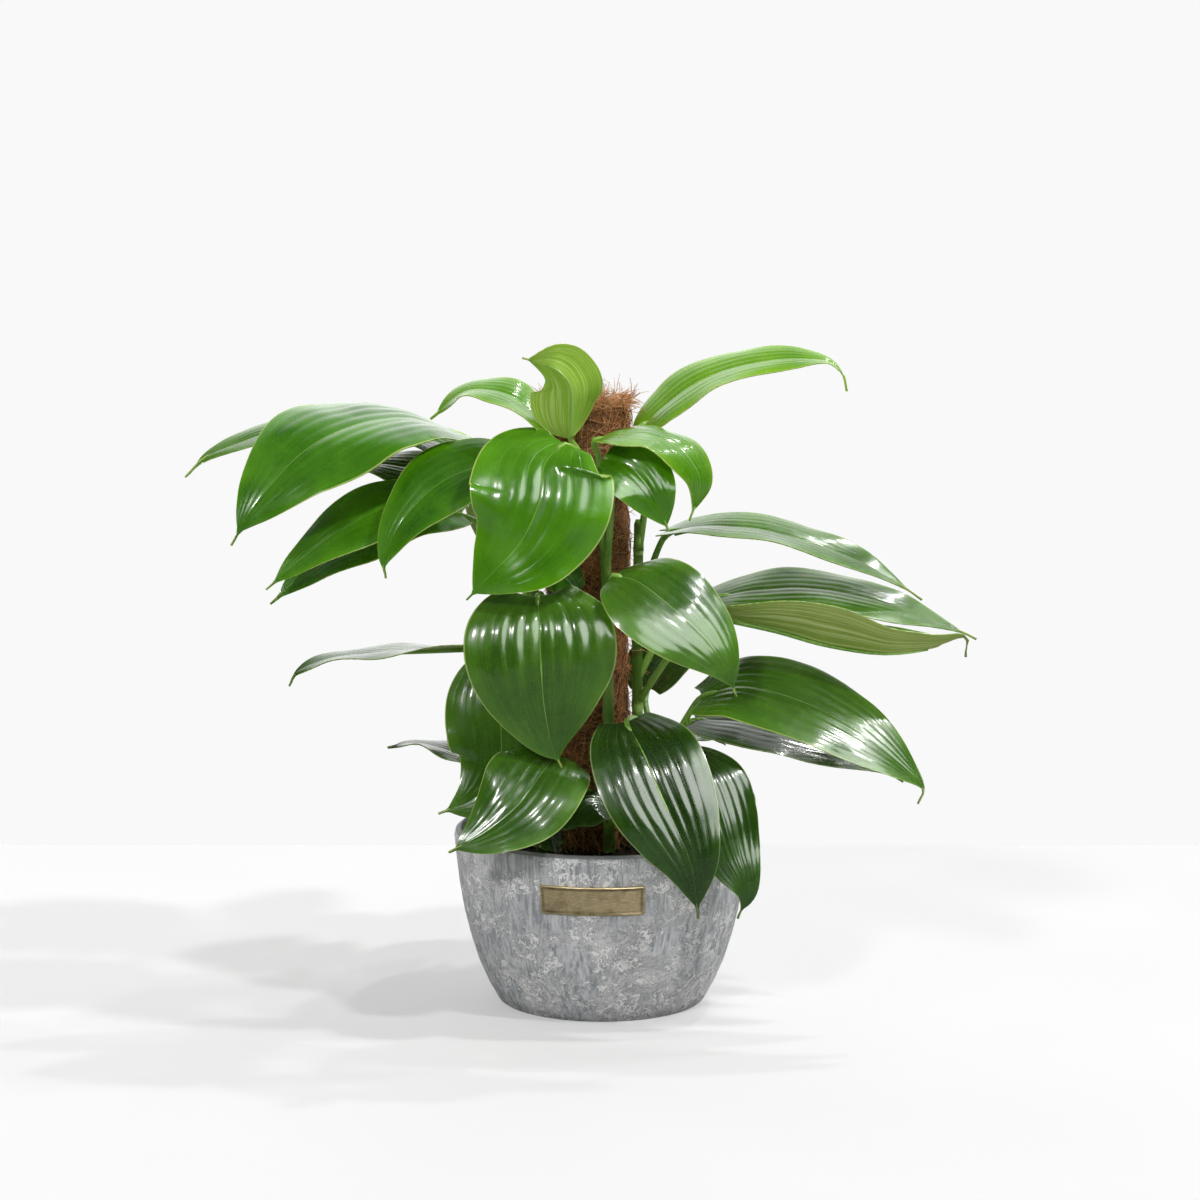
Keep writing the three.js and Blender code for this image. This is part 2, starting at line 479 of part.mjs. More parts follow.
// The blade's middle surface as rows of points from base to tip.
function bladeRows(leaf) {
  const rib = curveOf(leaf.rib.map(seen));
  const lobe = (leaf.lobe ?? LOBE_SHARE) * rib.getLength();
  const rows = [];
  for (let i = 0; i <= BLADE_ALONG; i++) {
    const even = i / BLADE_ALONG;
    const v = ROWS_CROWD_BASE * even * even + (1 - ROWS_CROWD_BASE) * even;
    const tangent = rib.getTangentAt(v);
    const up = new THREE.Vector3(...station(leaf.face, v));
    up.addScaledVector(tangent, -up.dot(tangent)).normalize();
    const side = new THREE.Vector3().crossVectors(tangent, up);
    const half = Math.max((leaf.width / 2) * halfWidth(v), TIP_WIDTH / 2);
    const fold = radians(station(leaf.fold, v));
    const curl = radians(station(leaf.curl, v));
    const row = [];
    for (let j = 0; j <= BLADE_ACROSS; j++) {
      const u = (2 * j) / BLADE_ACROSS - 1;
      const reach = Math.abs(u);
      const across = (half * (Math.sin(fold + curl * reach) - Math.sin(fold))) / curl;
      const rise = (half * (Math.cos(fold) - Math.cos(fold + curl * reach))) / curl;
      const fade = Math.max(1 - v / LOBE_REACH, 0) ** LOBE_FADE * Math.min(v / BASE_NOTCH, 1);
      const phase = FULL_TURN * (WAVES * v + WAVE_SHIFT * Math.sign(u));
      const wave = EDGE_WAVE * reach ** 2 * Math.sin(phase) * Math.sqrt(Math.sin(Math.PI * v));
      const point = rib.getPointAt(v);
      point.addScaledVector(side, Math.sign(u) * across);
      point.addScaledVector(up, rise + wave);
      point.addScaledVector(tangent, -lobe * reach ** LOBE_ROUNDING * fade);
      row.push(point);
    }
    rows.push(row);
  }
  return rows;
}

// A thin closed sheet: the middle surface set off to both sides, split alike on both faces.
function sheet(rows, thick) {
  const across = rows[0].length;
  const count = rows.length * across;
  const faces = [];
  for (let i = 0; i + 1 < rows.length; i++) {
    for (let j = 0; j + 1 < across; j++) {
      const a = i * across + j;
      const b = a + 1;
      const c = b + across;
      const d = a + across;
      if (j + 1 <= (across - 1) / 2) faces.push([a, b, d], [b, c, d]);
      else faces.push([a, b, c], [a, c, d]);
    }
  }
  const middle = geometryOf(rows.flat().flatMap((point) => point.toArray()), faces.flat());
  middle.computeVertexNormals();
  const spots = middle.attributes.position;
  const normals = middle.attributes.normal;
  const positions = [];
  for (const offset of [thick / 2, -thick / 2]) {
    for (let i = 0; i < count; i++) {
      const point = new THREE.Vector3().fromBufferAttribute(spots, i);
      point.addScaledVector(new THREE.Vector3().fromBufferAttribute(normals, i), offset);
      positions.push(...point.toArray());
    }
  }
  const triangles = faces.flat();
  for (const [a, b, c] of faces) triangles.push(a + count, c + count, b + count);
  const last = (rows.length - 1) * across;
  const edge = [];
  for (let j = 0; j < across - 1; j++) edge.push(j);
  for (let i = 0; i < rows.length - 1; i++) edge.push(i * across + across - 1);
  for (let j = across - 1; j > 0; j--) edge.push(last + j);
  for (let i = rows.length - 1; i > 0; i--) edge.push(i * across);
  edge.forEach((a, k) => {
    const b = edge[(k + 1) % edge.length];
    triangles.push(a, a + count, b + count, a, b + count, b);
  });
  return geometryOf(positions, triangles);
}

// Stalk and blade in one, cut a hair clear of the stem that they grow on.
function makeLeaf(leaf, stemClear) {
  const foot = stemPoint(STEMS[leaf.stem], leaf.from);
  const under = curveOf(leaf.rib.map(seen)).getPointAt(STALK_UNDER_BLADE);
  const places = [foot, ...[...leaf.stalk, leaf.rib[0]].map(seen), under];
  const radiusAt = (share) => STALK_RADIUS.foot + (STALK_RADIUS.end - STALK_RADIUS.foot) * share ** 2;
  const stalk = solidOf(tube(curveOf(places), STALK_STEPS, STALK_SIDES, radiusAt));
  const blade = solidOf(sheet(bladeRows(leaf), BLADE_THICK));
  return geometryFrom(blade.add(stalk).subtract(stemClear));
}

// Assembly

const stemHoles = {};
for (const [name, stem] of Object.entries(STEMS)) stemHoles[name] = solidOf(makeStem(stem, GAP));
const coirReach = COIR_LUMPS.reduce((sum, [height]) => sum + height, POLE_RADIUS + GAP);
const poleHoles = [
  solidOf(polePlug(CORE_RADIUS + GAP, CORE_BOTTOM - GAP, POT_HEIGHT, CORE_SIDES)),
  solidOf(polePlug(coirReach, POLE_BOTTOM - GAP, POT_HEIGHT, POLE_SIDES)),
];

const plant = new THREE.Group();
plant.add(piece('pot', makePot(), 0x8b8d91, 0.55));
plant.add(piece('name_plate', makePlate(), 0xa8843f, 0.35, 1));
plant.add(piece('potting_soil', makeSoil([...Object.values(stemHoles), ...poleHoles]), 0x2b211b, 0.95));
plant.add(piece('coir_pole', makeCoir(), 0x9a6238, 0.95));
plant.add(piece('pole_core', makeCore(), 0x4a3a2c, 0.7));
for (const [name, stem] of Object.entries(STEMS)) {
  plant.add(piece(`stem_${name}`, makeStem(stem, 0), 0x5d8a3a, 0.5));
}
for (const leaf of LEAVES) {
  plant.add(piece(leaf.name, makeLeaf(leaf, stemHoles[leaf.stem]), TONES[leaf.tone], 0.3));
}

export default plant;
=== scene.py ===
"""Dragon tail philodendron grown up a coir pole in a round bowl planter.

Metres, +Z up, with the origin at the middle of the pot's flat underside. Sizes in the tables are
millimetres.
"""

import math
import random
from collections import namedtuple

import bmesh
import bpy
import numpy as np
from mathutils import Matrix, Vector, noise


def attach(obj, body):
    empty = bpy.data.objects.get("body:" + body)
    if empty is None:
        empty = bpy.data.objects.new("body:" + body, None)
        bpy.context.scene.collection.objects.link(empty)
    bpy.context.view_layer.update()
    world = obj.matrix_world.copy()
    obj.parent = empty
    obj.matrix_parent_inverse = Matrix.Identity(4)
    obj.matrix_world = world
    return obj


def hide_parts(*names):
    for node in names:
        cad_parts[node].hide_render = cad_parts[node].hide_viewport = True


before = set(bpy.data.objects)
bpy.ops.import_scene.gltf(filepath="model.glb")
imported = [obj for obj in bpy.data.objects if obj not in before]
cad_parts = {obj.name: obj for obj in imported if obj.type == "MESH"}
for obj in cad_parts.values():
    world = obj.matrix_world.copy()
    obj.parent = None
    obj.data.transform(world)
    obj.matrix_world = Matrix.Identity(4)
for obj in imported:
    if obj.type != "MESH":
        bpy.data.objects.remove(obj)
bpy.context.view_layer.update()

MM = 0.001

# Pot
POT_TURN_STEPS = 128
POT_OUTSIDE = (
    (68.5, 0), (70.5, 1.5), (77, 13), (84, 29), (89.3, 46), (93.6, 64), (96.8, 83),
    (98.6, 99), (99.6, 109), (100, 114), (99.2, 117.2), (97, 119),
)
POT_INSIDE = (
    (95.6, 119), (94.2, 118), (93.6, 114), (91.1, 101), (89.3, 85), (86.1, 66), (81.8, 48),
    (76.5, 31), (69.5, 15), (63.5, 8),
)
POT_FLOOR = 8
LIP_FROM = 117.4
SAME_SPOT = 0.01

# Plate
PLATE_LOW, PLATE_HIGH = 79, 98.5
PLATE_WIDTH = 68
PLATE_OFFSET = -6.2
PLATE_THICK = 1.5
PLATE_GAP = 0.3
PLATE_GRID = (96, 28)
RIM_WIDTH, RIM_SLOPE, RIM_ROUND, FIELD_DEPTH = 1.1, 0.7, 0.6, 0.5
# Where the band of painted shade lies just inside the plate's raised rim: where it starts, where it peaks and
# how far it reaches, in millimetres in from the edge
RECESS_SHADE_FROM, RECESS_SHADE_AT, RECESS_SHADE_REACH = 0.9, 1.7, 1.5

# Soil
SOIL_EDGE, SOIL_RADIUS, SOIL_SINK = 102.5, 90.4, 0.6
SOIL_RISE = ((88, 0), (72, 1.5), (50, 4.5), (34, 6.5), (0, 6.5))
SOIL_RINGS, SOIL_TURN_STEPS = 46, 120
CRUMBS, CRUMB_REACH, CRUMB_SEED = 900, 87, 11

# Pole
POLE_AXIS = Vector((-10, 0, 0))
POLE_RADIUS = 27.6
POLE_BOTTOM, POLE_TOP = 46, 410
COIR_LUMPS = ((1.1, 3, 0.05), (0.8, 5, -0.11))
CORE_BORE = 12.3
WRAP_RINGS, WRAP_TURN_STEPS, WRAP_TAPER = 120, 96, 2.5
FIBRE_SEED = 5

# Climbing stems, as points from the soil up
STEMS = {
    "front": ([(5, -33, 62), (5, -33, 140), (4, -33, 240), (2, -34, 320), (-4, -36, 368)], 4.2),
    "right": ([(26, -12, 62), (25, -11, 140), (24, -10, 240), (25, -10, 330)], 4.2),
    "left": ([(-45, -9, 62), (-45, -8, 140), (-45, -8, 250), (-46, -8, 346)], 4.2),
    "back": ([(-13, 35, 62), (-14, 35, 150), (-13, 35, 250), (-13, 36, 350)], 4.2),
    "low_right": ([(36, -26, 62), (37, -27, 120), (38, -28, 190)], 4),
    "low_left": ([(-40, -34, 62), (-40, -34, 150), (-39, -35, 264)], 4),
}
STEM_TIP = 3.2
STEM_STEPS, STEM_SIDES = 90, 18
SCAR_SWELL, SCAR_WIDTH = 0.5, 2.2

# Blades
BLADE_THICK = 0.8
VEINS = (0.0, 0.21, 0.43, 0.65, 0.85, 1.0)
PLEAT_SHARES = (0.75, 1.0, 0.9, 0.5, 0.2)
STRIP_COLUMNS = 5
BLADE_ROWS = 64
PLEAT_RISE = 0.06
SWELL, TAPER, BODY_SHARE = 0.5, 0.95, 0.95
DRIP_WIDTH = 0.07
TIP_WIDTH = 1.2
ROWS_CROWD_BASE = 0.35
LOBE_SHARE, LOBE_REACH, LOBE_ROUNDING, LOBE_FADE = 0.08, 0.45, 1.6, 1.5
BASE_NOTCH = 0.03
EDGE_WAVE, WAVES, WAVE_SHIFT = 1.5, 2.2, 0.3
RIPPLES = ((0.045, 0.8), (0.14, 0.12))
KEEL_END, KEEL_WIDTH, KEEL_TIP, KEEL_SIDES = 0.86, 1.4, 0.3, 8
STALK_FOOT, STALK_END = 2.4, 1.7
STALK_RINGS, STALK_SIDES, STALK_INWARD = 19, 12, 0.12
KNEE_AT, KNEE_REACH, KNEE_SWELL = 0.8, 0.07, 0.35
SHEATH_REACH, SHEATH_SWELL = 0.05, 0.7
GROOVE_WIDTH, GROOVE_DEPTH = 0.5, 0.16
TINT_RANGE = (0.15, 0.6)

# A place (x, z, depth) is where a point shows on the upright plane through the pot's axis, and how
# far behind that plane it lies along the line from this eye.
EYE = np.array((-1.0, -2400.0, 631.0))

# One row a leaf: its name and tone, the stem it grows on and from what height, the place its stalk
# passes, its midrib from base to tip, where its upper side faces, its width flat, how its halves fold
# up (degrees) and curl (degrees over the half, negative downwards), and how far its lobes reach back as
# a share of its length, where that isn't the usual share.
Leaf = namedtuple("Leaf", "name tone stem foot stalk rib face width fold curl lobe", defaults=[LOBE_SHARE])
LEAVES = [Leaf(*row) for row in (
    ("leaf_01", "young", "front", 338, (-12, 368, -44),
     ((-21, 383, -50), (-20, 402, -56), (-21, 419, -60), (-32, 431, -62), (-53, 437, -58)),
     ((-0.5, 1, 0), (-0.2, 1, 0.2), (0.3, 0.8, 0.6)), 58, (46, 40, 16), -16, 0.0),
    ("leaf_02", "young", "front", 327, (-18, 364, -35),
     ((-33, 384, -40), (-46, 401, -38), (-66, 414, -32), (-92, 415, -24), (-114, 396, -20)),
     ((0, -0.1, 1), (0, -0.3, 1), (-0.4, -0.4, 0.8)), 42, 14, -20, 0.0),
    ("leaf_03", "young", "front", 351, (-2, 370, -42),
     ((-5, 382, -47), (10, 386, -52), (34, 385, -58), (55, 374, -64), (66, 354, -66), (59, 328, -64)),
     ((0, -0.1, 1), (0.1, -0.2, 1), (0.6, -0.7, 0.9), (0.9, -0.9, 0.2)), 48, 8, -22, 0.0),
    ("leaf_04", "young", "right", 304, (30, 352, -12),
     ((23, 387, -12), (42, 405, -12), (70, 424, -14), (108, 435, -18), (146, 436, -22), (160, 428, -24),
      (164, 415, -24)),
     ((0, -0.35, 1), (0, -0.4, 1), (0.5, -0.4, 1)), 50, 14, -22, 0.01),
    ("leaf_05", "bright", "front", 312, (-12, 366, -52),
     ((-25, 380, -64), (-38, 366, -76), (-42, 340, -86), (-54, 314, -90), (-72, 294, -90),
      (-91, 274, -86)),
     ((0, -0.6, 1), (0, -1, 0.25), (-0.2, -1, 0.4)), 95, 8, (-14, -24, -24), 0.05),
    ("leaf_06", "bright", "front", 293, (7, 350, -47),
     ((2, 370, -55), (16, 366, -62), (29, 354, -66), (38, 338, -66), (45, 321, -62)),
     ((0.1, -0.8, 0.7), (0.2, -1, 0.3), (0.2, -1, 0.2)), 45, 14, -20, 0.03),
    ("leaf_07", "bright", "left", 326, (-48, 354, -22),
     ((-56, 367, -31), (-80, 366, -40), (-110, 352, -50), (-133, 328, -58), (-146, 302, -62),
      (-145, 289, -61)),
     ((0, -0.7, 1), (-0.3, -0.8, 0.7), (-0.6, -0.9, 0.2)), 58, 12, -20, 0.03),
    ("leaf_08", "bright", "left", 338, (-68, 368, 14),
     ((-94, 386, 24), (-130, 397, 10), (-171, 390, -12), (-205, 370, -32), (-235, 335, -44),
      (-249, 311, -46)),
     ((0, 0, 1), (-0.1, -0.3, 1), (-0.3, -0.8, 0.6), (-0.4, -1, 0.1)), 106, 8, -22, 0.06),
    ("leaf_09", "green", "left", 314, (-68, 353, 33),
     ((-90, 372, 52), (-128, 387, 62), (-176, 394, 62), (-220, 388, 52), (-262, 372, 38),
      (-279, 357, 30)),
     ((0, -0.2, 1), (0, -0.25, 1), (-0.5, -0.5, 0.8)), 58, 12, -22),
    ("leaf_10", "green", "left", 296, (-61, 335, 18),
     ((-86, 357, 36), (-120, 362, 42), (-152, 366, 46), (-182, 364, 48)),
     ((0, -0.3, 1), (0, -0.32, 1)), 58, 8, -14),
    ("leaf_11", "bright", "left", 284, (-70, 330, -12),
     ((-100, 346, -14), (-130, 342, -20), (-168, 326, -26), (-203, 301, -30), (-226, 281, -30)),
     ((0, -0.4, 1), (0, -0.8, 1), (-0.4, -0.8, 0.6)), 52, 10, -18),
    ("leaf_12", "bright", "left", 264, (-66, 314, 4),
     ((-94, 332, 6), (-128, 331, 2), (-168, 314, -4), (-202, 290, -10), (-223, 271, -12)),
     ((0, -0.4, 1), (-0.1, -0.7, 1), (-0.4, -0.8, 0.6)), 56, 10, -18),
    ("leaf_13", "green", "left", 200, (-60, 232, 12),
     ((-82, 242, 18), (-118, 240, 22), (-150, 238, 26), (-185, 234, 28), (-205, 225, 28),
      (-211, 215, 28)),
     ((0, 0.25, 1), (0, 0.0, 1), (0, -0.3, 1)), 52, 10, -16),
    ("leaf_14", "dark", "left", 128, (-58, 150, 10),
     ((-72, 160, 16), (-96, 168, 20), (-124, 176, 22), (-145, 172, 22)),
     ((0, -0.1, 1), (0, 0.05, 1)), 44, 8, -14),
    ("leaf_15", "green", "low_left", 254, (-40, 276, -56),
     ((-43, 276, -76), (-42, 258, -90), (-41, 232, -96), (-39, 203, -96), (-34, 176, -92),
      (-27, 159, -90)),
     ((0, -0.8, 0.7), (0, -1, 0.1), (0, -1, 0)), 100, 8, -22, 0.13),
    ("leaf_16", "green", "low_left", 206, (-56, 228, -44),
     ((-69, 230, -47), (-70, 208, -56), (-68, 182, -61), (-70, 158, -64), (-86, 138, -68),
      (-111, 127, -70)),
     ((-0.2, -1, 0.5), (-0.1, -1, 0.1), (-0.2, -1, 0.3)), 74, 10, -20, 0.09),
    ("leaf_17", "green", "low_left", 144, (-35, 163, -48),
     ((-30, 168, -70), (-40, 156, -93), (-56, 134, -103), (-78, 115, -108), (-104, 100, -108)),
     ((0, -0.8, 0.8), (-0.2, -1, 0.5), (-0.4, -1, 0.5)), 68, 10, -20, 0.0),
    ("leaf_18", "green", "front", 238, (6, 276, -50),
     ((8, 291, -68), (25, 286, -82), (46, 270, -92), (68, 250, -97), (84, 228, -97), (91, 208, -95)),
     ((0, -0.7, 1), (0.2, -1, 0.6), (0.3, -1, 0.3)), 70, 6, -26, 0.02),
    ("leaf_19", "dark", "low_right", 172, (30, 202, 10),
     ((31, 214, 26), (38, 230, 38), (50, 240, 54), (66, 238, 74), (84, 226, 90)),
     ((0, -0.4, 1), (0, -0.3, 1), (0, -0.1, 1)), 48, 14, -18),
    ("leaf_20", "green", "right", 268, (37, 306, -8),
     ((45, 320, -8), (70, 324, -12), (110, 321, -18), (150, 310, -24), (185, 294, -28), (216, 274, -30)),
     ((0, -0.1, 1), (0, -0.3, 1), (0.3, -0.6, 1)), 46, 14, -18),
    ("leaf_21", "green", "right", 222, (48, 262, -10),
     ((76, 276, -14), (110, 281, -20), (150, 281, -26), (190, 272, -32), (225, 260, -34),
      (253, 247, -34)),
     ((0, -0.4, 1), (0, -0.4, 1), (0.2, -0.6, 1)), 54, 8, -18),
    ("leaf_22", "green", "right", 206, (56, 248, -30),
     ((84, 262, -40), (118, 254, -48), (152, 244, -56), (190, 238, -60), (222, 241, -58), (245, 248, -56),
      (246, 235, -55)),
     ((0, 0.1, 1), (0, 0.2, 1), (0, 0.1, 1)), 60, (20, 50, 50, 30), 6),
    ("leaf_23", "green", "low_right", 162, (58, 194, -38),
     ((68, 208, -46), (95, 215, -54), (132, 206, -62), (168, 188, -70), (200, 164, -76), (218, 146, -76),
      (215, 134, -76)),
     ((0, -0.5, 1), (0.2, -0.8, 0.9), (0.5, -0.8, 0.5)), 68, 8, -20),
    ("leaf_24", "dark", "low_right", 150, (54, 184, -14),
     ((64, 192, -16), (96, 190, -22), (135, 180, -28), (170, 168, -32), (205, 149, -34)),
     ((0, -0.3, 1), (0, -0.4, 1), (0.2, -0.4, 1)), 60, 8, -18),
    ("leaf_25", "dark", "low_right", 140, (44, 172, 8),
     ((52, 181, 18), (64, 183, 30), (76, 181, 44), (84, 175, 56)),
     ((0, -0.1, 1), (0, -0.1, 1)), 40, 8, -14),
    ("leaf_26", "dark", "low_right", 178, (24, 192, -56),
     ((17, 190, -76), (28, 170, -98), (40, 141, -112), (52, 115, -118), (62, 88, -120), (66, 54, -118)),
     ((0.1, -0.9, 0.7), (0.1, -1, 0.2), (0.1, -1, 0.1)), 74, 8, -20, 0.08),
    ("leaf_27", "dark", "low_right", 134, (50, 164, -50),
     ((60, 166, -66), (73, 150, -80), (82, 125, -88), (90, 98, -92), (99, 72, -94), (93, 54, -94)),
     ((0.4, -1, 0.6), (0.5, -1, 0.2), (0.4, -1, 0)), 54, 10, -18),
    ("leaf_28", "dark", "low_right", 122, (54, 150, -30),
     ((64, 156, -36), (80, 151, -42), (93, 140, -46), (100, 122, -48), (98, 112, -48)),
     ((0.3, -0.6, 1), (0.6, -0.6, 0.6), (0.9, -0.4, 0.1)), 36, 10, -18),
    ("leaf_29", "dark", "front", 116, (8, 130, -50),
     ((4, 134, -58), (-8, 133, -64), (-20, 126, -70), (-31, 114, -74)),
     ((0, -0.7, 1), (-0.1, -0.9, 0.8)), 34, 8, -18),
    ("leaf_30", "dark", "low_left", 112, (-30, 104, -50),
     ((-28, 108, -62), (-35, 113, -66), (-44, 117, -68), (-54, 113, -68)),
     ((0.1, -0.7, 1), (0.1, -0.7, 1)), 30, 8, -18),
    ("leaf_31", "bright", "front", 250, (-8, 272, -38),
     ((-17, 280, -42), (-28, 291, -44), (-42, 297, -46), (-56, 293, -46)),
     ((0, -0.7, 1), (0, -0.7, 1)), 36, 12, -18),
    ("leaf_32", "green", "back", 340, (-14, 358, 40),
     ((-13, 366, 50), (-14, 380, 84), (-18, 376, 120), (-24, 356, 150), (-28, 330, 164)),
     ((0, -0.2, 1), (0, 0.1, 1), (0, 0.8, 0.7)), 74, 8, -22),
    ("leaf_33", "green", "back", 238, (-2, 258, 38),
     ((8, 266, 48), (26, 280, 74), (42, 276, 112), (54, 260, 142), (60, 240, 158)),
     ((0, 0, 1), (0.1, 0.2, 1), (0.3, 0.8, 0.7)), 70, 8, -22),
    ("leaf_34", "dark", "back", 132, (0, 150, 38),
     ((8, 160, 46), (22, 176, 72), (36, 172, 112), (47, 152, 140), (52, 126, 152)),
     ((0, 0, 1), (0.1, 0.3, 1), (0.3, 0.9, 0.6)), 68, 8, -22),
    ("leaf_35", "green", "back", 312, (-28, 334, 38),
     ((-38, 342, 46), (-52, 354, 72), (-66, 348, 108), (-76, 328, 134), (-80, 304, 148)),
     ((0, 0, 1), (-0.1, 0.2, 1), (-0.4, 0.8, 0.7)), 64, 8, -22),
    ("leaf_36", "green", "back", 206, (-26, 228, 38),
     ((-32, 238, 46), (-46, 256, 72), (-58, 250, 110), (-66, 226, 138), (-70, 198, 152)),
     ((0, 0, 1), (-0.1, 0.2, 1), (-0.4, 0.8, 0.7)), 74, 8, -22),
    ("leaf_37", "dark", "back", 166, (-16, 186, 40),
     ((-17, 196, 52), (-20, 208, 82), (-25, 202, 118), (-30, 178, 146), (-33, 148, 158)),
     ((0, 0, 1), (0, 0.3, 1), (0, 0.9, 0.6)), 72, 8, -22),
    ("leaf_38", "dark", "back", 122, (-30, 140, 36),
     ((-38, 150, 42), (-50, 160, 66), (-64, 154, 96), (-74, 134, 122), (-80, 110, 134)),
     ((0, 0, 1), (-0.2, 0.3, 1), (-0.6, 0.8, 0.5)), 60, 8, -20),
)]


# Shapes that leaves, stems and fibres share


def seen(place):
    """The point in space of a place (x, z, depth)."""
    on_plane = np.array((place[0], 0.0, place[1]))
    return EYE + (on_plane - EYE) * (1 - place[2] / EYE[1])


def along(points, shares, fine=241):
    """Points and directions of a smooth curve through the given points, at shares of its length."""
    knots = np.vstack([2 * points[0] - points[1], points, 2 * points[-1] - points[-2]])
    spans = len(points) - 1

    def at(t):
        t = np.clip(t, 0, 1) * spans
        i = np.minimum(t.astype(int), spans - 1)
        f = (t - i)[:, None]
        p0, p1, p2, p3 = knots[i], knots[i + 1], knots[i + 2], knots[i + 3]
        start, end = (p2 - p0) / 2, (p3 - p1) / 2
        return (
            (2 * f**3 - 3 * f**2 + 1) * p1 + (f**3 - 2 * f**2 + f) * start
            + (3 * f**2 - 2 * f**3) * p2 + (f**3 - f**2) * end
        )

    steps = np.linspace(0, 1, fine)
    run = np.concatenate([[0], np.cumsum(np.linalg.norm(np.diff(at(steps), axis=0), axis=1))])
    t = np.interp(shares, run / run[-1], steps)
    ahead = at(t + 0.001) - at(t - 0.001)
    return at(t), ahead / np.linalg.norm(ahead, axis=1)[:, None], run[-1]


def stations(values, shares):
    """Values at shares of a list of even stations, eased between neighbours."""
    table = np.array(values if isinstance(values, (list, tuple)) else [values], float)
    table = table.reshape(len(table), -1)
    if len(table) == 1:
        return np.repeat(table, len(shares), 0)
    place = np.clip(shares, 0, 1) * (len(table) - 1)
    i = np.minimum(place.astype(int), len(table) - 2)
    f = (place - i)[:, None]
    f = f * f * (3 - 2 * f)
    return table[i] * (1 - f) + table[i + 1] * f


def tube(bm, centres, radii, sides, ring=None):
    """A closed tube, drawn ring by ring along the centres. ring(angle) shapes its section."""
    out = bmesh.ops.create_circle(bm, cap_ends=True, segments=sides, radius=1)
    loop = out["verts"]
    if ring:
        for vert in loop:
            vert.co *= ring(math.atan2(vert.co.y, vert.co.x))
    cap = loop[0].link_faces[0]
    faces = {cap}
    side = None
    last = None
    for i, centre in enumerate(centres):
        ahead = Vector(centres[min(i + 1, len(centres) - 1)]) - Vector(centres[max(i - 1, 0)])
        ahead.normalize()
        side = ahead.orthogonal() if side is None else side - ahead * side.dot(ahead)
        side.normalize()
        turn = Matrix((side, ahead.cross(side), ahead)).transposed().to_4x4()
        place = Matrix.Translation(Vector(centre)) @ turn @ Matrix.Scale(radii[i], 4)
        if last is not None:
            grown = bmesh.ops.extrude_face_region(bm, geom=[cap])["geom"]
            loop = [g for g in grown if isinstance(g, bmesh.types.BMVert)]
            cap = next(g for g in grown if isinstance(g, bmesh.types.BMFace))
            faces.add(cap)
            bmesh.ops.transform(bm, matrix=place @ last.inverted(), verts=loop)
            faces.update(face for vert in loop for face in vert.link_faces)
        else:
            bmesh.ops.transform(bm, matrix=place, verts=loop)
        last = place
    faces = [face for face in faces if face.is_valid]
    bmesh.ops.recalc_face_normals(bm, faces=faces)
    return faces


def lathe(bm, profile, steps, closed=False):
    """A profile of (radius, height) points, turned once round the upright axis."""
    verts = [bm.verts.new((r, 0, z)) for r, z in profile]
    ends = verts[1:] + verts[:1] if closed else verts[1:]
    edges = [bm.edges.new(pair) for pair in zip(verts, ends)]
    bmesh.ops.spin(
        bm, geom=verts + edges, axis=(0, 0, 1), cent=(0, 0, 0), dvec=(0, 0, 0),
        angle=2 * math.pi, steps=steps, use_merge=True,
    )
    bmesh.ops.remove_doubles(bm, verts=bm.verts, dist=SAME_SPOT)
    bmesh.ops.recalc_face_normals(bm, faces=bm.faces)


def finished(name, bm, materials, node=None, smooth=True):
    """The mesh in millimetres becomes a piece that rides on the plant and stands for its node."""
    bmesh.ops.scale(bm, vec=(MM, MM, MM), verts=bm.verts)
    mesh = bpy.data.meshes.new(name)
    bm.to_mesh(mesh)
    bm.free()
    for material in materials:
        mesh.materials.append(material)
    if smooth:
        mesh.shade_smooth()
    piece = bpy.data.objects.new(name, mesh)
    bpy.context.scene.collection.objects.link(piece)
    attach(piece, "root")
    if node:
        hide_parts(node)


# Finishes


class Tree:
    """A node tree with short ways to add and link nodes."""

    def __init__(self, tree):
        self.tree = tree
        tree.nodes.clear()

    def add(self, kind, inputs=(), **settings):
        node = self.tree.nodes.new(kind if kind.startswith("NodeGroup") else f"ShaderNode{kind}")
        for key, value in settings.items():
            setattr(node, key, value)
        for key, value in dict(inputs).items():
            if isinstance(value, bpy.types.NodeSocket):
                self.tree.links.new(value, node.inputs[key])
            else:
                node.inputs[key].default_value = value
        return node

    def math(self, operation, a, b=0.0, clamp=False):
        return self.add("Math", {0: a, 1: b}, operation=operation, use_clamp=clamp).outputs[0]

    def plus(self, a, b, clamp=False):
        return self.math("ADD", a, b, clamp)

    def minus(self, a, b):
        return self.math("SUBTRACT", a, b)

    def times(self, a, b):
        return self.math("MULTIPLY", a, b)

    def from_middle(self, value):
        """How far a value lies from one half."""
        return self.math("ABSOLUTE", self.minus(value, 0.5))

    def spread(self, value, low, high, out_low=0.0, out_high=1.0):
        """Value taken from low..high to out_low..out_high, smoothly and clamped."""
        return self.add(
            "MapRange", {0: value, 1: low, 2: high, 3: out_low, 4: out_high},
            interpolation_type="SMOOTHSTEP",
        ).outputs[0]

    def mix(self, share, a, b):
        """Colours a and b, mixed. Each is a socket or red, green and blue."""
        a, b = ((*colour, 1) if isinstance(colour, tuple) else colour for colour in (a, b))
        return self.add("Mix", {0: share, 6: a, 7: b}, data_type="RGBA").outputs[2]

    def noise(self, vector, scale, detail=2.0, roughness=0.5, distortion=0.0):
        return self.add(
            "TexNoise",
            {"Vector": vector, "Scale": scale, "Detail": detail, "Roughness": roughness,
             "Distortion": distortion},
        ).outputs[0]

    def attribute(self, name):
        return self.add("Attribute", attribute_name=name).outputs["Fac"]

    def place(self, scale=(1, 1, 1)):
        """Object coordinates, stretched."""
        spot = self.add("TexCoord").outputs["Object"]
        return self.add("Mapping", {"Vector": spot, "Scale": scale}).outputs[0]


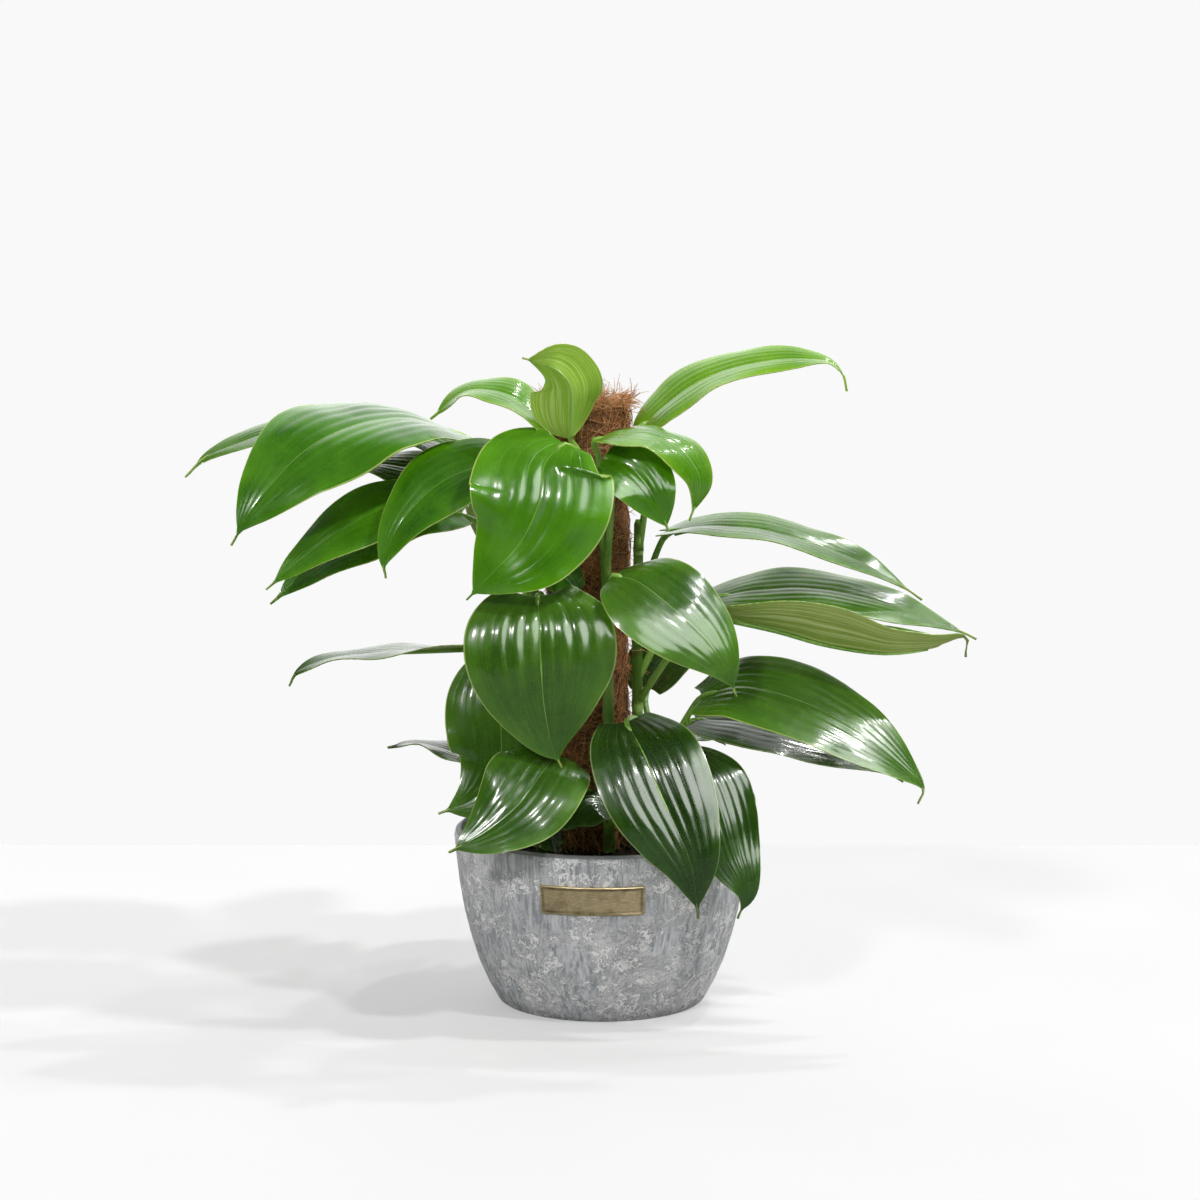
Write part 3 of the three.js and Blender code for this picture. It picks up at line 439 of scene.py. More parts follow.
def material(name, build, **shader):
    """A material whose build(tree) gives the sockets that vary; the rest is set on the shader."""
    made = bpy.data.materials.new(name)
    made.use_nodes = True
    tree = Tree(made.node_tree)
    varying = build(tree)
    height, reach = varying.pop("height", None), varying.pop("reach", None)
    principled = tree.add("BsdfPrincipled", {**shader, **varying})
    if height is not None:
        bump = tree.add("Bump", {"Height": height, "Distance": reach, "Strength": 1.0})
        tree.tree.links.new(bump.outputs[0], principled.inputs["Normal"])
    output = tree.add("OutputMaterial")
    tree.tree.links.new(principled.outputs[0], output.inputs[0])
    return made


def look(colour, rough, height, reach):
    """What a build function gives its material. The bump's reach is in metres."""
    return {"Base Color": colour, "Roughness": rough, "height": height, "reach": reach}


def leaf_skin_group():
    """Colour, roughness and height of a leaf's skin from its veins, margin and fine streaks."""
    group = bpy.data.node_groups.new("leaf_skin", "ShaderNodeTree")
    for in_out, kind, names in (
        ("INPUT", "Color", ("Deep", "Fresh", "Vein", "Margin")),
        ("INPUT", "Float", ("Vein Share", "Smoothness", "Fine Veins")),
        ("OUTPUT", "Color", ("Colour",)),
        ("OUTPUT", "Float", ("Roughness", "Height")),
    ):
        for name in names:
            group.interface.new_socket(name, in_out=in_out, socket_type=f"NodeSocket{kind}")
    tree = Tree(group)
    given = tree.add("NodeGroupInput").outputs
    spot = tree.place()
    vein, rib, tint = tree.attribute("vein"), tree.attribute("midrib"), tree.attribute("tint")
    blade = tree.add("UVMap", uv_map="blade").outputs[0]
    parts = tree.add("SeparateXYZ", {0: blade}).outputs
    reach = tree.from_middle(parts[0])

    def lengthwise(across, along_blade):
        """Blade coordinates for lines that run along the blade and differ from leaf to leaf."""
        scaled = {0: tree.times(parts[0], across), 1: tree.times(parts[1], along_blade), 2: tint}
        return tree.add("CombineXYZ", scaled).outputs[0]

    streaks = tree.noise(lengthwise(130.0, 4.0), 1.0, 3.0, 0.6)
    blotch = tree.noise(spot, 26.0, 3.0, 0.55)
    cells = tree.noise(spot, 900.0, 2.0, 0.6)
    threads = tree.noise(lengthwise(75.0, 1.6), 1.0, 1.0, 0.5)
    fine_line = tree.spread(threads, 0.5, 0.66)
    fresh_share = tree.plus(tree.times(tree.minus(blotch, 0.5), 1.4), tint, True)
    fresh_share = tree.plus(fresh_share, tree.spread(reach, 0.3, 0.5, 0.0, 0.35), True)
    skin = tree.mix(fresh_share, given["Deep"], given["Fresh"])
    skin = tree.mix(tree.spread(streaks, 0.42, 0.72, 0.0, 0.28), skin, given["Fresh"])
    skin = tree.mix(tree.spread(cells, 0.45, 0.7, 0.0, 0.1), skin, given["Vein"])
    skin = tree.mix(tree.times(fine_line, given["Fine Veins"]), skin, given["Vein"])
    vein_line = tree.spread(vein, 0.72, 0.97)
    skin = tree.mix(tree.times(vein_line, given["Vein Share"]), skin, given["Vein"])
    rib_line = tree.spread(rib, 0.72, 0.93)
    skin = tree.mix(tree.times(rib_line, 0.65), skin, given["Vein"])
    margin = tree.spread(reach, 0.486, 0.495)
    skin = tree.mix(tree.times(margin, 0.8), skin, given["Margin"])
    rough = tree.plus(given["Smoothness"], tree.spread(blotch, 0.35, 0.7, -0.04, 0.08))
    rough = tree.plus(rough, tree.times(rib_line, 0.12))
    height = tree.plus(tree.times(streaks, 0.22), tree.times(cells, 0.1))
    height = tree.minus(height, tree.times(fine_line, 0.12))
    height = tree.minus(height, tree.times(vein_line, 0.5))
    out = tree.add("NodeGroupOutput")
    for name, socket in (("Colour", skin), ("Roughness", rough), ("Height", height)):
        group.links.new(socket, out.inputs[name])
    return group


leaf_skin = leaf_skin_group()


def leaf_side(name, deep, fresh, vein, vein_share, margin, smoothness, fine_veins, reach, **shader):
    """One side of a blade."""

    def build(tree):
        skin = tree.add(
            "Group",
            {"Deep": (*deep, 1), "Fresh": (*fresh, 1), "Vein": (*vein, 1), "Vein Share": vein_share,
             "Margin": (*margin, 1), "Smoothness": smoothness, "Fine Veins": fine_veins},
            node_tree=leaf_skin,
        )
        return look(*skin.outputs, reach)

    return material(name, build, **shader)


# For each tone of leaf: deep and fresh colour above, the same below, the veins above and below, the edge
TONES = {
    "young": ((0.050, 0.21, 0.001), (0.20, 0.45, 0.004), (0.14, 0.33, 0.008), (0.28, 0.50, 0.03),
              (0.42, 0.62, 0.12), (0.56, 0.72, 0.20), (0.60, 0.70, 0.22)),
    "bright": ((0.016, 0.100, 0.0004), (0.10, 0.34, 0.001), (0.12, 0.26, 0.008), (0.22, 0.38, 0.03),
               (0.22, 0.46, 0.05), (0.54, 0.66, 0.22), (0.50, 0.62, 0.16)),
    "green": ((0.017, 0.072, 0.002), (0.084, 0.23, 0.007), (0.14, 0.24, 0.02), (0.28, 0.38, 0.07),
              (0.20, 0.38, 0.08), (0.56, 0.66, 0.27), (0.40, 0.52, 0.15)),
    "dark": ((0.009, 0.034, 0.001), (0.032, 0.105, 0.004), (0.06, 0.12, 0.012), (0.12, 0.20, 0.04),
             (0.12, 0.24, 0.05), (0.34, 0.44, 0.17), (0.28, 0.38, 0.12)),
}

# The materials of each tone's upper side, underside and edge
leaf_skins = {}
for tone, (deep, fresh, deep_under, fresh_under, vein, vein_under, margin) in TONES.items():
    upper = leaf_side(
        f"leaf_{tone}_upper", deep, fresh, vein, 0.30, margin, 0.24, 0.03, 0.00018,
        **{"Specular IOR Level": 0.45, "Coat Weight": 0.5, "Coat Roughness": 0.1, "Coat IOR": 1.5},
    )
    under = leaf_side(
        f"leaf_{tone}_under", deep_under, fresh_under, vein_under, 0.85, margin, 0.42, 0.55, 0.0003,
        **{"Specular IOR Level": 0.4},
    )

    def build_edge(tree):
        grain = tree.spread(tree.noise(tree.place(), 300.0), 0.3, 0.7)
        return {"Base Color": tree.mix(grain, margin, fresh)}

    leaf_skins[tone] = (upper, under, material(f"leaf_{tone}_edge", build_edge, Roughness=0.4))


def build_stalk(tree):
    grain = tree.noise(tree.place((1, 1, 0.12)), 700.0, 3.0)
    broad = tree.noise(tree.place(), 24.0)
    green = tree.mix(tree.spread(broad, 0.35, 0.68), (0.13, 0.31, 0.022), (0.28, 0.50, 0.07))
    return look(
        tree.mix(tree.spread(grain, 0.45, 0.7, 0, 0.4), green, (0.36, 0.54, 0.14)),
        tree.spread(grain, 0.3, 0.7, 0.28, 0.42),
        grain, 0.0002,
    )


def build_stem(tree):
    grain = tree.noise(tree.place((1, 1, 0.1)), 500.0, 3.0)
    broad = tree.noise(tree.place(), 30.0)
    green = tree.mix(tree.spread(broad, 0.35, 0.68), (0.12, 0.27, 0.03), (0.27, 0.45, 0.09))
    brown = tree.spread(tree.noise(tree.place(), 90.0, 4.0), 0.58, 0.7, 0.0, 0.6)
    return look(
        tree.mix(brown, green, (0.12, 0.075, 0.03)),
        tree.spread(grain, 0.3, 0.7, 0.35, 0.55),
        grain, 0.0004,
    )


def build_pot(tree):
    spot = tree.place()
    warp = tree.add("TexNoise", {"Vector": spot, "Scale": 34.0, "Detail": 5.0, "Roughness": 0.65})
    centred = tree.add("VectorMath", {0: warp.outputs["Color"], 1: (0.5, 0.5, 0.5)},
                       operation="SUBTRACT")
    pushed = tree.add("VectorMath", {0: centred.outputs[0], "Scale": 0.035}, operation="SCALE")
    curled = tree.add("VectorMath", {0: spot, 1: pushed.outputs[0]}, operation="ADD").outputs[0]
    low = tree.add("Mapping", {"Vector": curled, "Scale": (1, 1, 1.7)}).outputs[0]
    # Pale crests run along the steps of a slow wave, broken up by a finer one
    waves = tree.noise(low, 26.0, 8.0, 0.62)
    step = tree.from_middle(tree.math("FRACT", tree.times(waves, 9.0)))
    lace = tree.noise(low, 70.0, 6.0, 0.6)
    fine_step = tree.from_middle(tree.math("FRACT", tree.times(lace, 7.0)))
    crest = tree.math("MAXIMUM", tree.spread(step, 0.30, 0.40), tree.spread(fine_step, 0.36, 0.44))
    broken = tree.spread(tree.noise(low, 34.0, 6.0, 0.7), 0.45, 0.50)
    fine = tree.noise(curled, 420.0, 5.0, 0.7)
    wisps = tree.times(crest, broken)
    patches = tree.spread(tree.noise(low, 16.0, 7.0, 0.65, 0.5), 0.48, 0.53)
    streaks = tree.noise(tree.place((1, 1, 0.05)), 260.0, 5.0, 0.7)
    hairs = tree.noise(tree.place((1, 1, 0.03)), 520.0, 4.0, 0.65)
    brushed = tree.mix(tree.spread(streaks, 0.38, 0.62), (0.30, 0.32, 0.345), (0.60, 0.615, 0.63))
    brushed = tree.mix(tree.spread(hairs, 0.50, 0.62, 0, 0.6), brushed, (0.80, 0.80, 0.80))
    mottled = tree.mix(tree.spread(fine, 0.40, 0.60), (0.36, 0.37, 0.385), (0.62, 0.62, 0.62))
    body = tree.mix(patches, brushed, mottled)
    dust = tree.spread(tree.noise(curled, 60.0, 6.0, 0.7), 0.47, 0.55, 0.0, 0.7)
    body = tree.mix(tree.times(dust, patches), body, (0.76, 0.76, 0.755))
    cover = tree.times(wisps, tree.spread(patches, 0.0, 0.6, 0.8, 1.0))
    pits = tree.times(tree.spread(tree.noise(curled, 150.0, 4.0, 0.6), 0.60, 0.70), 0.6)
    body = tree.mix(pits, body, (0.30, 0.315, 0.34))
    return look(
        tree.mix(cover, body, (1.0, 0.995, 0.985)),
        tree.spread(waves, 0.3, 0.7, 0.48, 0.66),
        tree.plus(tree.times(cover, 0.9), tree.times(streaks, 0.4)), 0.0005,
    )


def build_pot_inside(tree):
    grain = tree.noise(tree.place(), 260.0, 4.0, 0.6)
    cloud = tree.noise(tree.place(), 30.0, 3.0)
    grey = tree.mix(tree.spread(cloud, 0.35, 0.65), (0.20, 0.21, 0.225), (0.30, 0.31, 0.32))
    return look(
        tree.mix(tree.spread(grain, 0.5, 0.75, 0, 0.4), grey, (0.32, 0.325, 0.33)),
        tree.spread(grain, 0.3, 0.7, 0.42, 0.58),
        grain, 0.0002,
    )


def build_brass(tree):
    spot = tree.place((0.06, 1, 1))
    brushing = tree.noise(spot, 1600.0, 3.0, 0.6)
    aged = tree.noise(tree.place(), 90.0, 5.0, 0.6)
    deep = tree.attribute("recess")
    gold = tree.mix(tree.spread(brushing, 0.3, 0.7), (0.72, 0.56, 0.30), (1.0, 0.85, 0.52))
    # Patina spots from the noise, plus painted shade in the band just inside the plate's raised rim
    patina_and_recess_shade = tree.plus(tree.spread(aged, 0.45, 0.7, 0.0, 0.35), tree.times(deep, 0.75), True)
    return look(
        tree.mix(patina_and_recess_shade, gold, (0.20, 0.14, 0.065)),
        tree.spread(brushing, 0.25, 0.75, 0.3, 0.46),
        brushing, 0.00006,
    )


def build_soil(tree):
    fine = tree.noise(tree.place(), 520.0, 5.0, 0.7)
    clumps = tree.noise(tree.place(), 110.0, 4.0, 0.6)
    earth = tree.mix(tree.spread(clumps, 0.35, 0.65), (0.010, 0.007, 0.005), (0.042, 0.026, 0.017))
    return look(
        tree.mix(tree.spread(fine, 0.56, 0.74, 0, 0.6), earth, (0.13, 0.07, 0.04)),
        tree.spread(fine, 0.3, 0.7, 0.8, 0.95),
        tree.plus(fine, clumps), 0.0014,
    )


def coir_builder(dark, light):
    """A coir finish between two browns."""

    def build(tree):
        strands = tree.noise(tree.place((1, 1, 0.5)), 620.0, 5.0, 0.7, 1.2)
        cloud = tree.noise(tree.place(), 60.0, 3.0)
        share = tree.plus(tree.times(strands, 0.75), tree.times(cloud, 0.4))
        return look(
            tree.mix(tree.spread(share, 0.38, 0.74), dark, light),
            tree.spread(strands, 0.3, 0.7, 0.7, 0.9),
            strands, 0.0012,
        )

    return build


stalk_skin = material("leaf_stalk", build_stalk, **{"Specular IOR Level": 0.5, "Coat Weight": 0.2,
                                                    "Coat Roughness": 0.2})
stem_skin = material("climbing_stem", build_stem, **{"Specular IOR Level": 0.4})
pot_outer = material("mineral_washed_pot", build_pot, **{"Specular IOR Level": 0.35})
pot_inner = material("plain_grey_pot_inside", build_pot_inside, **{"Specular IOR Level": 0.4})
aged_brass = material("aged_brushed_brass", build_brass, Metallic=1.0)
dark_soil = material("dark_potting_soil", build_soil, **{"Specular IOR Level": 0.25})
coir_ground = material("coir_wrap", coir_builder((0.11, 0.04, 0.015), (0.52, 0.22, 0.08)))
coir_orange = material("coir_fibre_orange", coir_builder((0.42, 0.15, 0.045), (0.86, 0.42, 0.17)))
coir_tan = material("coir_fibre_tan", coir_builder((0.50, 0.26, 0.115), (0.86, 0.58, 0.32)))
coir_dark = material("coir_fibre_dark", coir_builder((0.05, 0.018, 0.008), (0.20, 0.075, 0.028)))
stake_wood = material("stake_wood", coir_builder((0.05, 0.025, 0.012), (0.14, 0.08, 0.04)))


# Leaves


def half_width(v):
    """Half width along the blade as a share of the widest."""
    t = np.clip(v / BODY_SHARE, 0, 1)
    peak = SWELL / (SWELL + TAPER)
    body = (t / peak) ** SWELL * ((1 - t) / (1 - peak)) ** TAPER
    return np.hypot(body, DRIP_WIDTH * (1 - v) * np.clip(v * 4, 0, 1))


def column_shares():
    """Where the columns of a blade lie: every vein is one, with some between each two."""
    right = [
        inner + (outer - inner) * k / STRIP_COLUMNS
        for inner, outer in zip(VEINS, VEINS[1:])
        for k in range(STRIP_COLUMNS)
    ] + [1.0]
    return [-u for u in right[:0:-1]] + right


# How strongly each leaf is pleated along its veins, and how fresh it looks, where it stands out
PLEAT_USUAL = 0.55
PLEATS = {"leaf_15": 1.3, "leaf_26": 1.2, "leaf_27": 1.1, "leaf_22": 1.0, "leaf_23": 0.9, "leaf_16": 0.7}
TINTS = {"leaf_01": 0.7, "leaf_02": 0.3, "leaf_03": 0.15, "leaf_04": 0.6, "leaf_05": 0.5,
         "leaf_06": 0.5, "leaf_15": 0.3, "leaf_17": 0.15, "leaf_26": 0.1}

COLUMNS = column_shares()
MIDDLE = len(COLUMNS) // 2


def blade_points(leaf):
    """Points of the blade's middle surface: one array a column, with a point a row from base to tip."""
    rib = np.array([seen(place) for place in leaf.rib])
    even = np.linspace(0, 1, BLADE_ROWS + 1)
    v = ROWS_CROWD_BASE * even**2 + (1 - ROWS_CROWD_BASE) * even
    spine, ahead, length = along(rib, v)
    up = stations(leaf.face, v)
    up -= (up * ahead).sum(1)[:, None] * ahead
    up /= np.linalg.norm(up, axis=1)[:, None]
    side = np.cross(ahead, up)
    half = np.maximum(leaf.width / 2 * half_width(v), TIP_WIDTH / 2)
    fold = np.radians(stations(leaf.fold, v)[:, 0])
    curl = np.radians(stations(leaf.curl, v)[:, 0])
    fade = np.clip(1 - v / LOBE_REACH, 0, 1) ** LOBE_FADE * np.clip(v / BASE_NOTCH, 0, 1)
    lobe = leaf.lobe * length
    pleat_fade = np.clip(v / 0.12, 0, 1) * np.clip((1 - v) / 0.2, 0, 1) * PLEATS.get(leaf.name, PLEAT_USUAL)
    columns = []
    for u in COLUMNS:
        r, sign = abs(u), (u > 0) - (u < 0)
        across = half * (np.sin(fold + curl * r) - np.sin(fold)) / curl
        rise = half * (np.cos(fold) - np.cos(fold + curl * r)) / curl
        phase = 2 * math.pi * (WAVES * v + WAVE_SHIFT * sign)
        rise = rise + EDGE_WAVE * r**2 * np.sin(phase) * np.sqrt(np.sin(math.pi * v))
        strip = min(sum(r >= vein for vein in VEINS) - 1, len(VEINS) - 2)
        wide = VEINS[strip + 1] - VEINS[strip]
        f = (r - VEINS[strip]) / wide
        rise = rise + PLEAT_RISE * PLEAT_SHARES[strip] * wide * half * (6 * f * (1 - f) - 1) * pleat_fade
        back = lobe * r**LOBE_ROUNDING * fade
        columns.append(
            spine + side * (sign * across)[:, None] + up * rise[:, None] - ahead * back[:, None]
        )
    return columns, v, spine, up


def make_leaf(leaf):
    """Blade, midrib keel and stalk in one mesh."""
    rng = random.Random(leaf.name)
    columns, v, spine, up = blade_points(leaf)
    bm = bmesh.new()
    vein_layer = bm.verts.layers.float.new("vein")
    rib_layer = bm.verts.layers.float.new("midrib")
    tint_layer = bm.verts.layers.float.new("tint")
    uv_layer = bm.loops.layers.uv.new("blade")
    bmesh.ops.create_grid(bm, x_segments=len(COLUMNS) - 1, y_segments=BLADE_ROWS, size=1)
    tint = TINTS.get(leaf.name, rng.uniform(*TINT_RANGE))
    wobble_shift = Vector((rng.uniform(0, 50), rng.uniform(0, 50), 0))
    for face in bm.faces:
        for loop in face.loops:
            loop[uv_layer].uv = loop.vert.co.xy
    for vert in bm.verts:
        j = round((vert.co.x + 1) / 2 * (len(COLUMNS) - 1))
        i = round((vert.co.y + 1) / 2 * BLADE_ROWS)
        distance = abs(j - MIDDLE)
        vert[vein_layer] = float(distance % STRIP_COLUMNS == 0 and 0 < distance < MIDDLE) * (1 - v[i])
        vert[rib_layer] = float(distance == 0)
        vert[tint_layer] = tint
        vert.co = columns[j][i]
    for face in bm.faces:
        for loop in face.loops:
            x, y = loop[uv_layer].uv
            j = round((x + 1) / 2 * (len(COLUMNS) - 1))
            i = round((y + 1) / 2 * BLADE_ROWS)
            loop[uv_layer].uv = ((COLUMNS[j] + 1) / 2, v[i])
    bm.normal_update()
    for vert in bm.verts:
        broad = noise.noise(vert.co * RIPPLES[0][0] + wobble_shift) * RIPPLES[0][1]
        fine = noise.noise(vert.co * RIPPLES[1][0]) * RIPPLES[1][1]
        vert.co += vert.normal * (BLADE_THICK / 2 + (broad + fine))
    bm.faces.ensure_lookup_table()
    rows = len(bm.faces)
    if bm.faces[0].normal.dot(Vector(up[0])) < 0:
        bmesh.ops.reverse_faces(bm, faces=bm.faces)
    lower = bmesh.ops.extrude_face_region(bm, geom=bm.faces[:], use_keep_orig=True)["geom"]
    for part in lower:
        if isinstance(part, bmesh.types.BMVert):
            part.co -= part.normal * BLADE_THICK
    bmesh.ops.recalc_face_normals(bm, faces=bm.faces[:])
    for i, face in enumerate(bm.faces):
        face.material_index = min(i // rows, 2)
        if i // rows >= 2:
            for edge in face.edges:
                edge.smooth = False
    keel_rows = range(2, int(BLADE_ROWS * KEEL_END), 3)
    keel_radii = [KEEL_WIDTH * (1 - v[i]) + KEEL_TIP for i in keel_rows]
    keel = [spine[i] - up[i] * (0.2 + 0.85 * r) for i, r in zip(keel_rows, keel_radii)]
    inward = int(BLADE_ROWS * STALK_INWARD)
    stalk_points = np.array([
        stem_point(leaf.stem, leaf.foot), seen(leaf.stalk),
        spine[0] - up[0] * 0.6, spine[inward] - up[inward] * 1.4,
    ])
    shares = np.linspace(0, 1, STALK_RINGS)
    stalk, _, _ = along(stalk_points, shares)
    stalk_radii = STALK_FOOT + (STALK_END - STALK_FOOT) * shares**2
    stalk_radii = stalk_radii + KNEE_SWELL * np.exp(-(((shares - KNEE_AT) / KNEE_REACH) ** 2))
    stalk_radii = stalk_radii + SHEATH_SWELL * np.exp(-shares / SHEATH_REACH)
    stalk_radii[-1] *= 0.5

    def groove(angle):
        return 1 - GROOVE_DEPTH * math.exp(-((angle / GROOVE_WIDTH) ** 2))

    for face in tube(bm, stalk, stalk_radii, STALK_SIDES, groove) + tube(bm, keel, keel_radii, KEEL_SIDES):
        face.material_index = 3
    skins = (*leaf_skins[leaf.tone], stalk_skin)
    finished(f"{leaf.name}_grown", bm, skins, leaf.name)


# Stems


def stem_point(name, height):
    """The point of a stem's axis at a given height."""
    points = np.array(STEMS[name][0], float)
    path, _, _ = along(points, np.linspace(0, 1, 400))
    return path[np.abs(path[:, 2] - height).argmin()]


def make_stem(name):
    """A climbing stem with the rings that shed leaves left on it."""
    rng = random.Random(name)
    points, foot = STEMS[name]
    points = np.array(points, float)
    shares = np.linspace(0, 1, STEM_STEPS)
    path, _, length = along(points, shares)
    joints = [rng.uniform(0, 16) + k * rng.uniform(30, 36) for k in range(int(length / 32) + 1)]
    radii = foot + (STEM_TIP - foot) * shares
    for joint in joints:
        radii = radii + SCAR_SWELL * np.exp(-(((shares * length - joint) / SCAR_WIDTH) ** 2))
    radii[-1] *= 0.6
    bm = bmesh.new()
    tube(bm, path, radii, STEM_SIDES)
    finished(f"stem_{name}_grown", bm, (stem_skin,), f"stem_{name}")


# Pot, plate and soil


def make_pot():
    """The shell, with its lip and inside in the plainer of its two finishes."""
    bm = bmesh.new()
    lathe(bm, [(0, 0), *POT_OUTSIDE, *POT_INSIDE, (0, POT_FLOOR)], POT_TURN_STEPS)
    for face in bm.faces:
        middle = face.calc_center_median()
        lip = middle.z > LIP_FROM
        wall = middle.z > POT_FLOOR - 1 and face.normal.xy.dot(middle.xy) < 0
        floor = abs(middle.z - POT_FLOOR) < SAME_SPOT and middle.xy.length < POT_INSIDE[-1][0]
        face.material_index = int(lip or wall or floor)
    for edge in bm.edges:
        edge.smooth = max(vert.co.z for vert in edge.verts) >= SAME_SPOT
    finished("pot_shell", bm, (pot_outer, pot_inner), "pot")


def pot_radius(z):
    radii, heights = zip(*POT_OUTSIDE)
    return float(np.interp(z, heights, radii))


def make_plate():
    """A bare plate, bent to the pot, with a raised rim round a brushed field."""
    across, high = PLATE_GRID
    bm = bmesh.new()
    recess = bm.verts.layers.float.new("recess")
    bmesh.ops.create_grid(bm, x_segments=across, y_segments=high, size=1)
    for vert in bm.verts:
        vert.co.x *= PLATE_WIDTH / 2
        vert.co.y *= (PLATE_HIGH - PLATE_LOW) / 2
    bmesh.ops.solidify(bm, geom=bm.faces[:], thickness=PLATE_THICK)
    top = max(vert.co.z for vert in bm.verts)
    middle = (PLATE_LOW + PLATE_HIGH) / 2
    for vert in bm.verts:
        x, y, depth = vert.co
        out = depth - top + PLATE_THICK
        inset = min(PLATE_WIDTH / 2 - abs(x), (PLATE_HIGH - PLATE_LOW) / 2 - abs(y))
        if out > PLATE_THICK / 2:
            step = min(max((inset - RIM_WIDTH) / RIM_SLOPE, 0), 1)
            edge = min(inset / RIM_ROUND, 1)
            out = PLATE_THICK * (0.72 + 0.28 * edge) - FIELD_DEPTH * step * step * (3 - 2 * step)
            # Just inside the raised rim the brass is marked for painted shade, strongest at the rim's foot
            if inset > RECESS_SHADE_FROM:
                vert[recess] = max(0.0, 1 - abs(inset - RECESS_SHADE_AT) / RECESS_SHADE_REACH)
        z = middle + y
        angle = -math.pi / 2 + (PLATE_OFFSET + x) / pot_radius(PLATE_LOW)
        radius = pot_radius(z) + PLATE_GAP + out
        vert.co = (radius * math.cos(angle), radius * math.sin(angle), z)
    bmesh.ops.recalc_face_normals(bm, faces=bm.faces)
    finished("plate_bare", bm, (aged_brass,), "name_plate")


def soil_height(x, y):
    """Height of the soil's top, mounded towards the pole and crumbly."""
    r = math.hypot(x, y)
    rise = float(np.interp(-r, [-ring for ring, _ in SOIL_RISE], [up for _, up in SOIL_RISE]))
    crumbs = noise.noise(Vector((x * 0.11, y * 0.11, 3))) * 1.1 + noise.noise(Vector((x, y, 9)) * 0.37) * 0.7
    return SOIL_EDGE - SOIL_SINK + rise + crumbs * min(1, (90 - r) / 6)


def make_soil():
    """The filling, from the pot's floor up to its crumbly top."""
    bm = bmesh.new()
    wall = [(r - 0.8, z + 0.3) for r, z in reversed(POT_INSIDE[4:])]
    wall.append((SOIL_RADIUS, SOIL_EDGE - SOIL_SINK))
    top = [(SOIL_RADIUS * (1 - k / SOIL_RINGS), SOIL_EDGE) for k in range(1, SOIL_RINGS)]
    profile = [(0, POT_FLOOR + 0.3), *wall, *top, (0, SOIL_EDGE)]
    lathe(bm, profile, SOIL_TURN_STEPS)
    for vert in bm.verts:
        if vert.co.z > SOIL_EDGE - 0.5:
            vert.co.z = soil_height(vert.co.x, vert.co.y)
    finished("soil_bed", bm, (dark_soil,), "potting_soil")


def make_crumbs():
    """Loose crumbs and bark bits on the soil."""
    rng = random.Random(CRUMB_SEED)
    bm = bmesh.new()
    for _ in range(CRUMBS):
        angle, r = rng.uniform(0, 2 * math.pi), CRUMB_REACH * math.sqrt(rng.uniform(0.02, 1))
        x, y = r * math.cos(angle), r * math.sin(angle)
        size = rng.uniform(0.5, 1.7) if rng.random() < 0.85 else rng.uniform(1.7, 3.2)
        verts = bmesh.ops.create_icosphere(bm, subdivisions=1, radius=size)["verts"]
        stretch = (rng.uniform(0.6, 1.5), rng.uniform(0.6, 1.2), rng.uniform(0.4, 0.9))
        bmesh.ops.scale(bm, vec=stretch, verts=verts)
        for vert in verts:
            vert.co *= rng.uniform(0.78, 1.2)
        turn = Matrix.Rotation(rng.uniform(0, math.pi), 3, Vector((rng.random(), rng.random(), 1)))
        bmesh.ops.rotate(bm, matrix=turn, verts=verts)
        bmesh.ops.translate(bm, vec=(x, y, soil_height(x, y) + size * 0.15), verts=verts)
    finished("soil_crumbs", bm, (dark_soil,), None, smooth=False)


# Pole


def coir_lump(turn, z):
    return sum(height * math.sin(count * turn + z * twist) for height, count, twist in COIR_LUMPS)


def make_coir_wrap():
    """The felted wrap under the loose fibres, open where the stake runs through."""
    bm = bmesh.new()
    profile = [(CORE_BORE, POLE_BOTTOM)]
    for k in range(WRAP_RINGS + 1):
        taper = WRAP_TAPER if k in (0, WRAP_RINGS) else 0
        profile.append((POLE_RADIUS - taper, POLE_BOTTOM + (POLE_TOP - POLE_BOTTOM) * k / WRAP_RINGS))
    profile += [(20, POLE_TOP), (16, POLE_TOP), (CORE_BORE, POLE_TOP)]
    lathe(bm, profile, WRAP_TURN_STEPS, closed=True)
    for vert in bm.verts:
        r = math.hypot(vert.co.x, vert.co.y)
        if r > 15:
            turn = math.atan2(vert.co.y, vert.co.x)
            rough = noise.noise(vert.co * 0.22) * 0.9 + noise.noise(vert.co * 0.6) * 0.5
            share = 1 + (coir_lump(turn, vert.co.z) + rough - 0.6) / r
            vert.co.x *= share
            vert.co.y *= share
            if vert.co.z > POLE_TOP - 1:
                vert.co.z += rough * 1.6 - 0.8
    bmesh.ops.translate(bm, vec=POLE_AXIS, verts=bm.verts)
    finished("coir_wrap", bm, (coir_ground,), "coir_pole")


def fibres(name, strands, thick, finish):
    """Loose fibres as thin closed tubes, thinner towards their ends."""
    curve = bpy.data.curves.new(name, "CURVE")
    curve.dimensions = "3D"
    curve.bevel_depth = thick * MM
    curve.bevel_resolution = 0
    curve.use_fill_caps = True
    for points in strands:
        spline = curve.splines.new("POLY")
        spline.points.add(len(points) - 1)
        for i, (point, place) in enumerate(zip(spline.points, points)):
            point.co = (*(Vector(place) * MM), 1)
            point.radius = 1 - 0.55 * abs(2 * i / (len(points) - 1) - 1) ** 2
    holder = bpy.data.objects.new(name, curve)
    mesh = bpy.data.meshes.new_from_object(holder)
    bpy.data.objects.remove(holder)
    bm = bmesh.new()
    bm.from_mesh(mesh)
    bpy.data.meshes.remove(mesh)
    bmesh.ops.recalc_face_normals(bm, faces=bm.faces)
    bmesh.ops.scale(bm, vec=(1 / MM,) * 3, verts=bm.verts)
    finished(name, bm, (finish,), None)


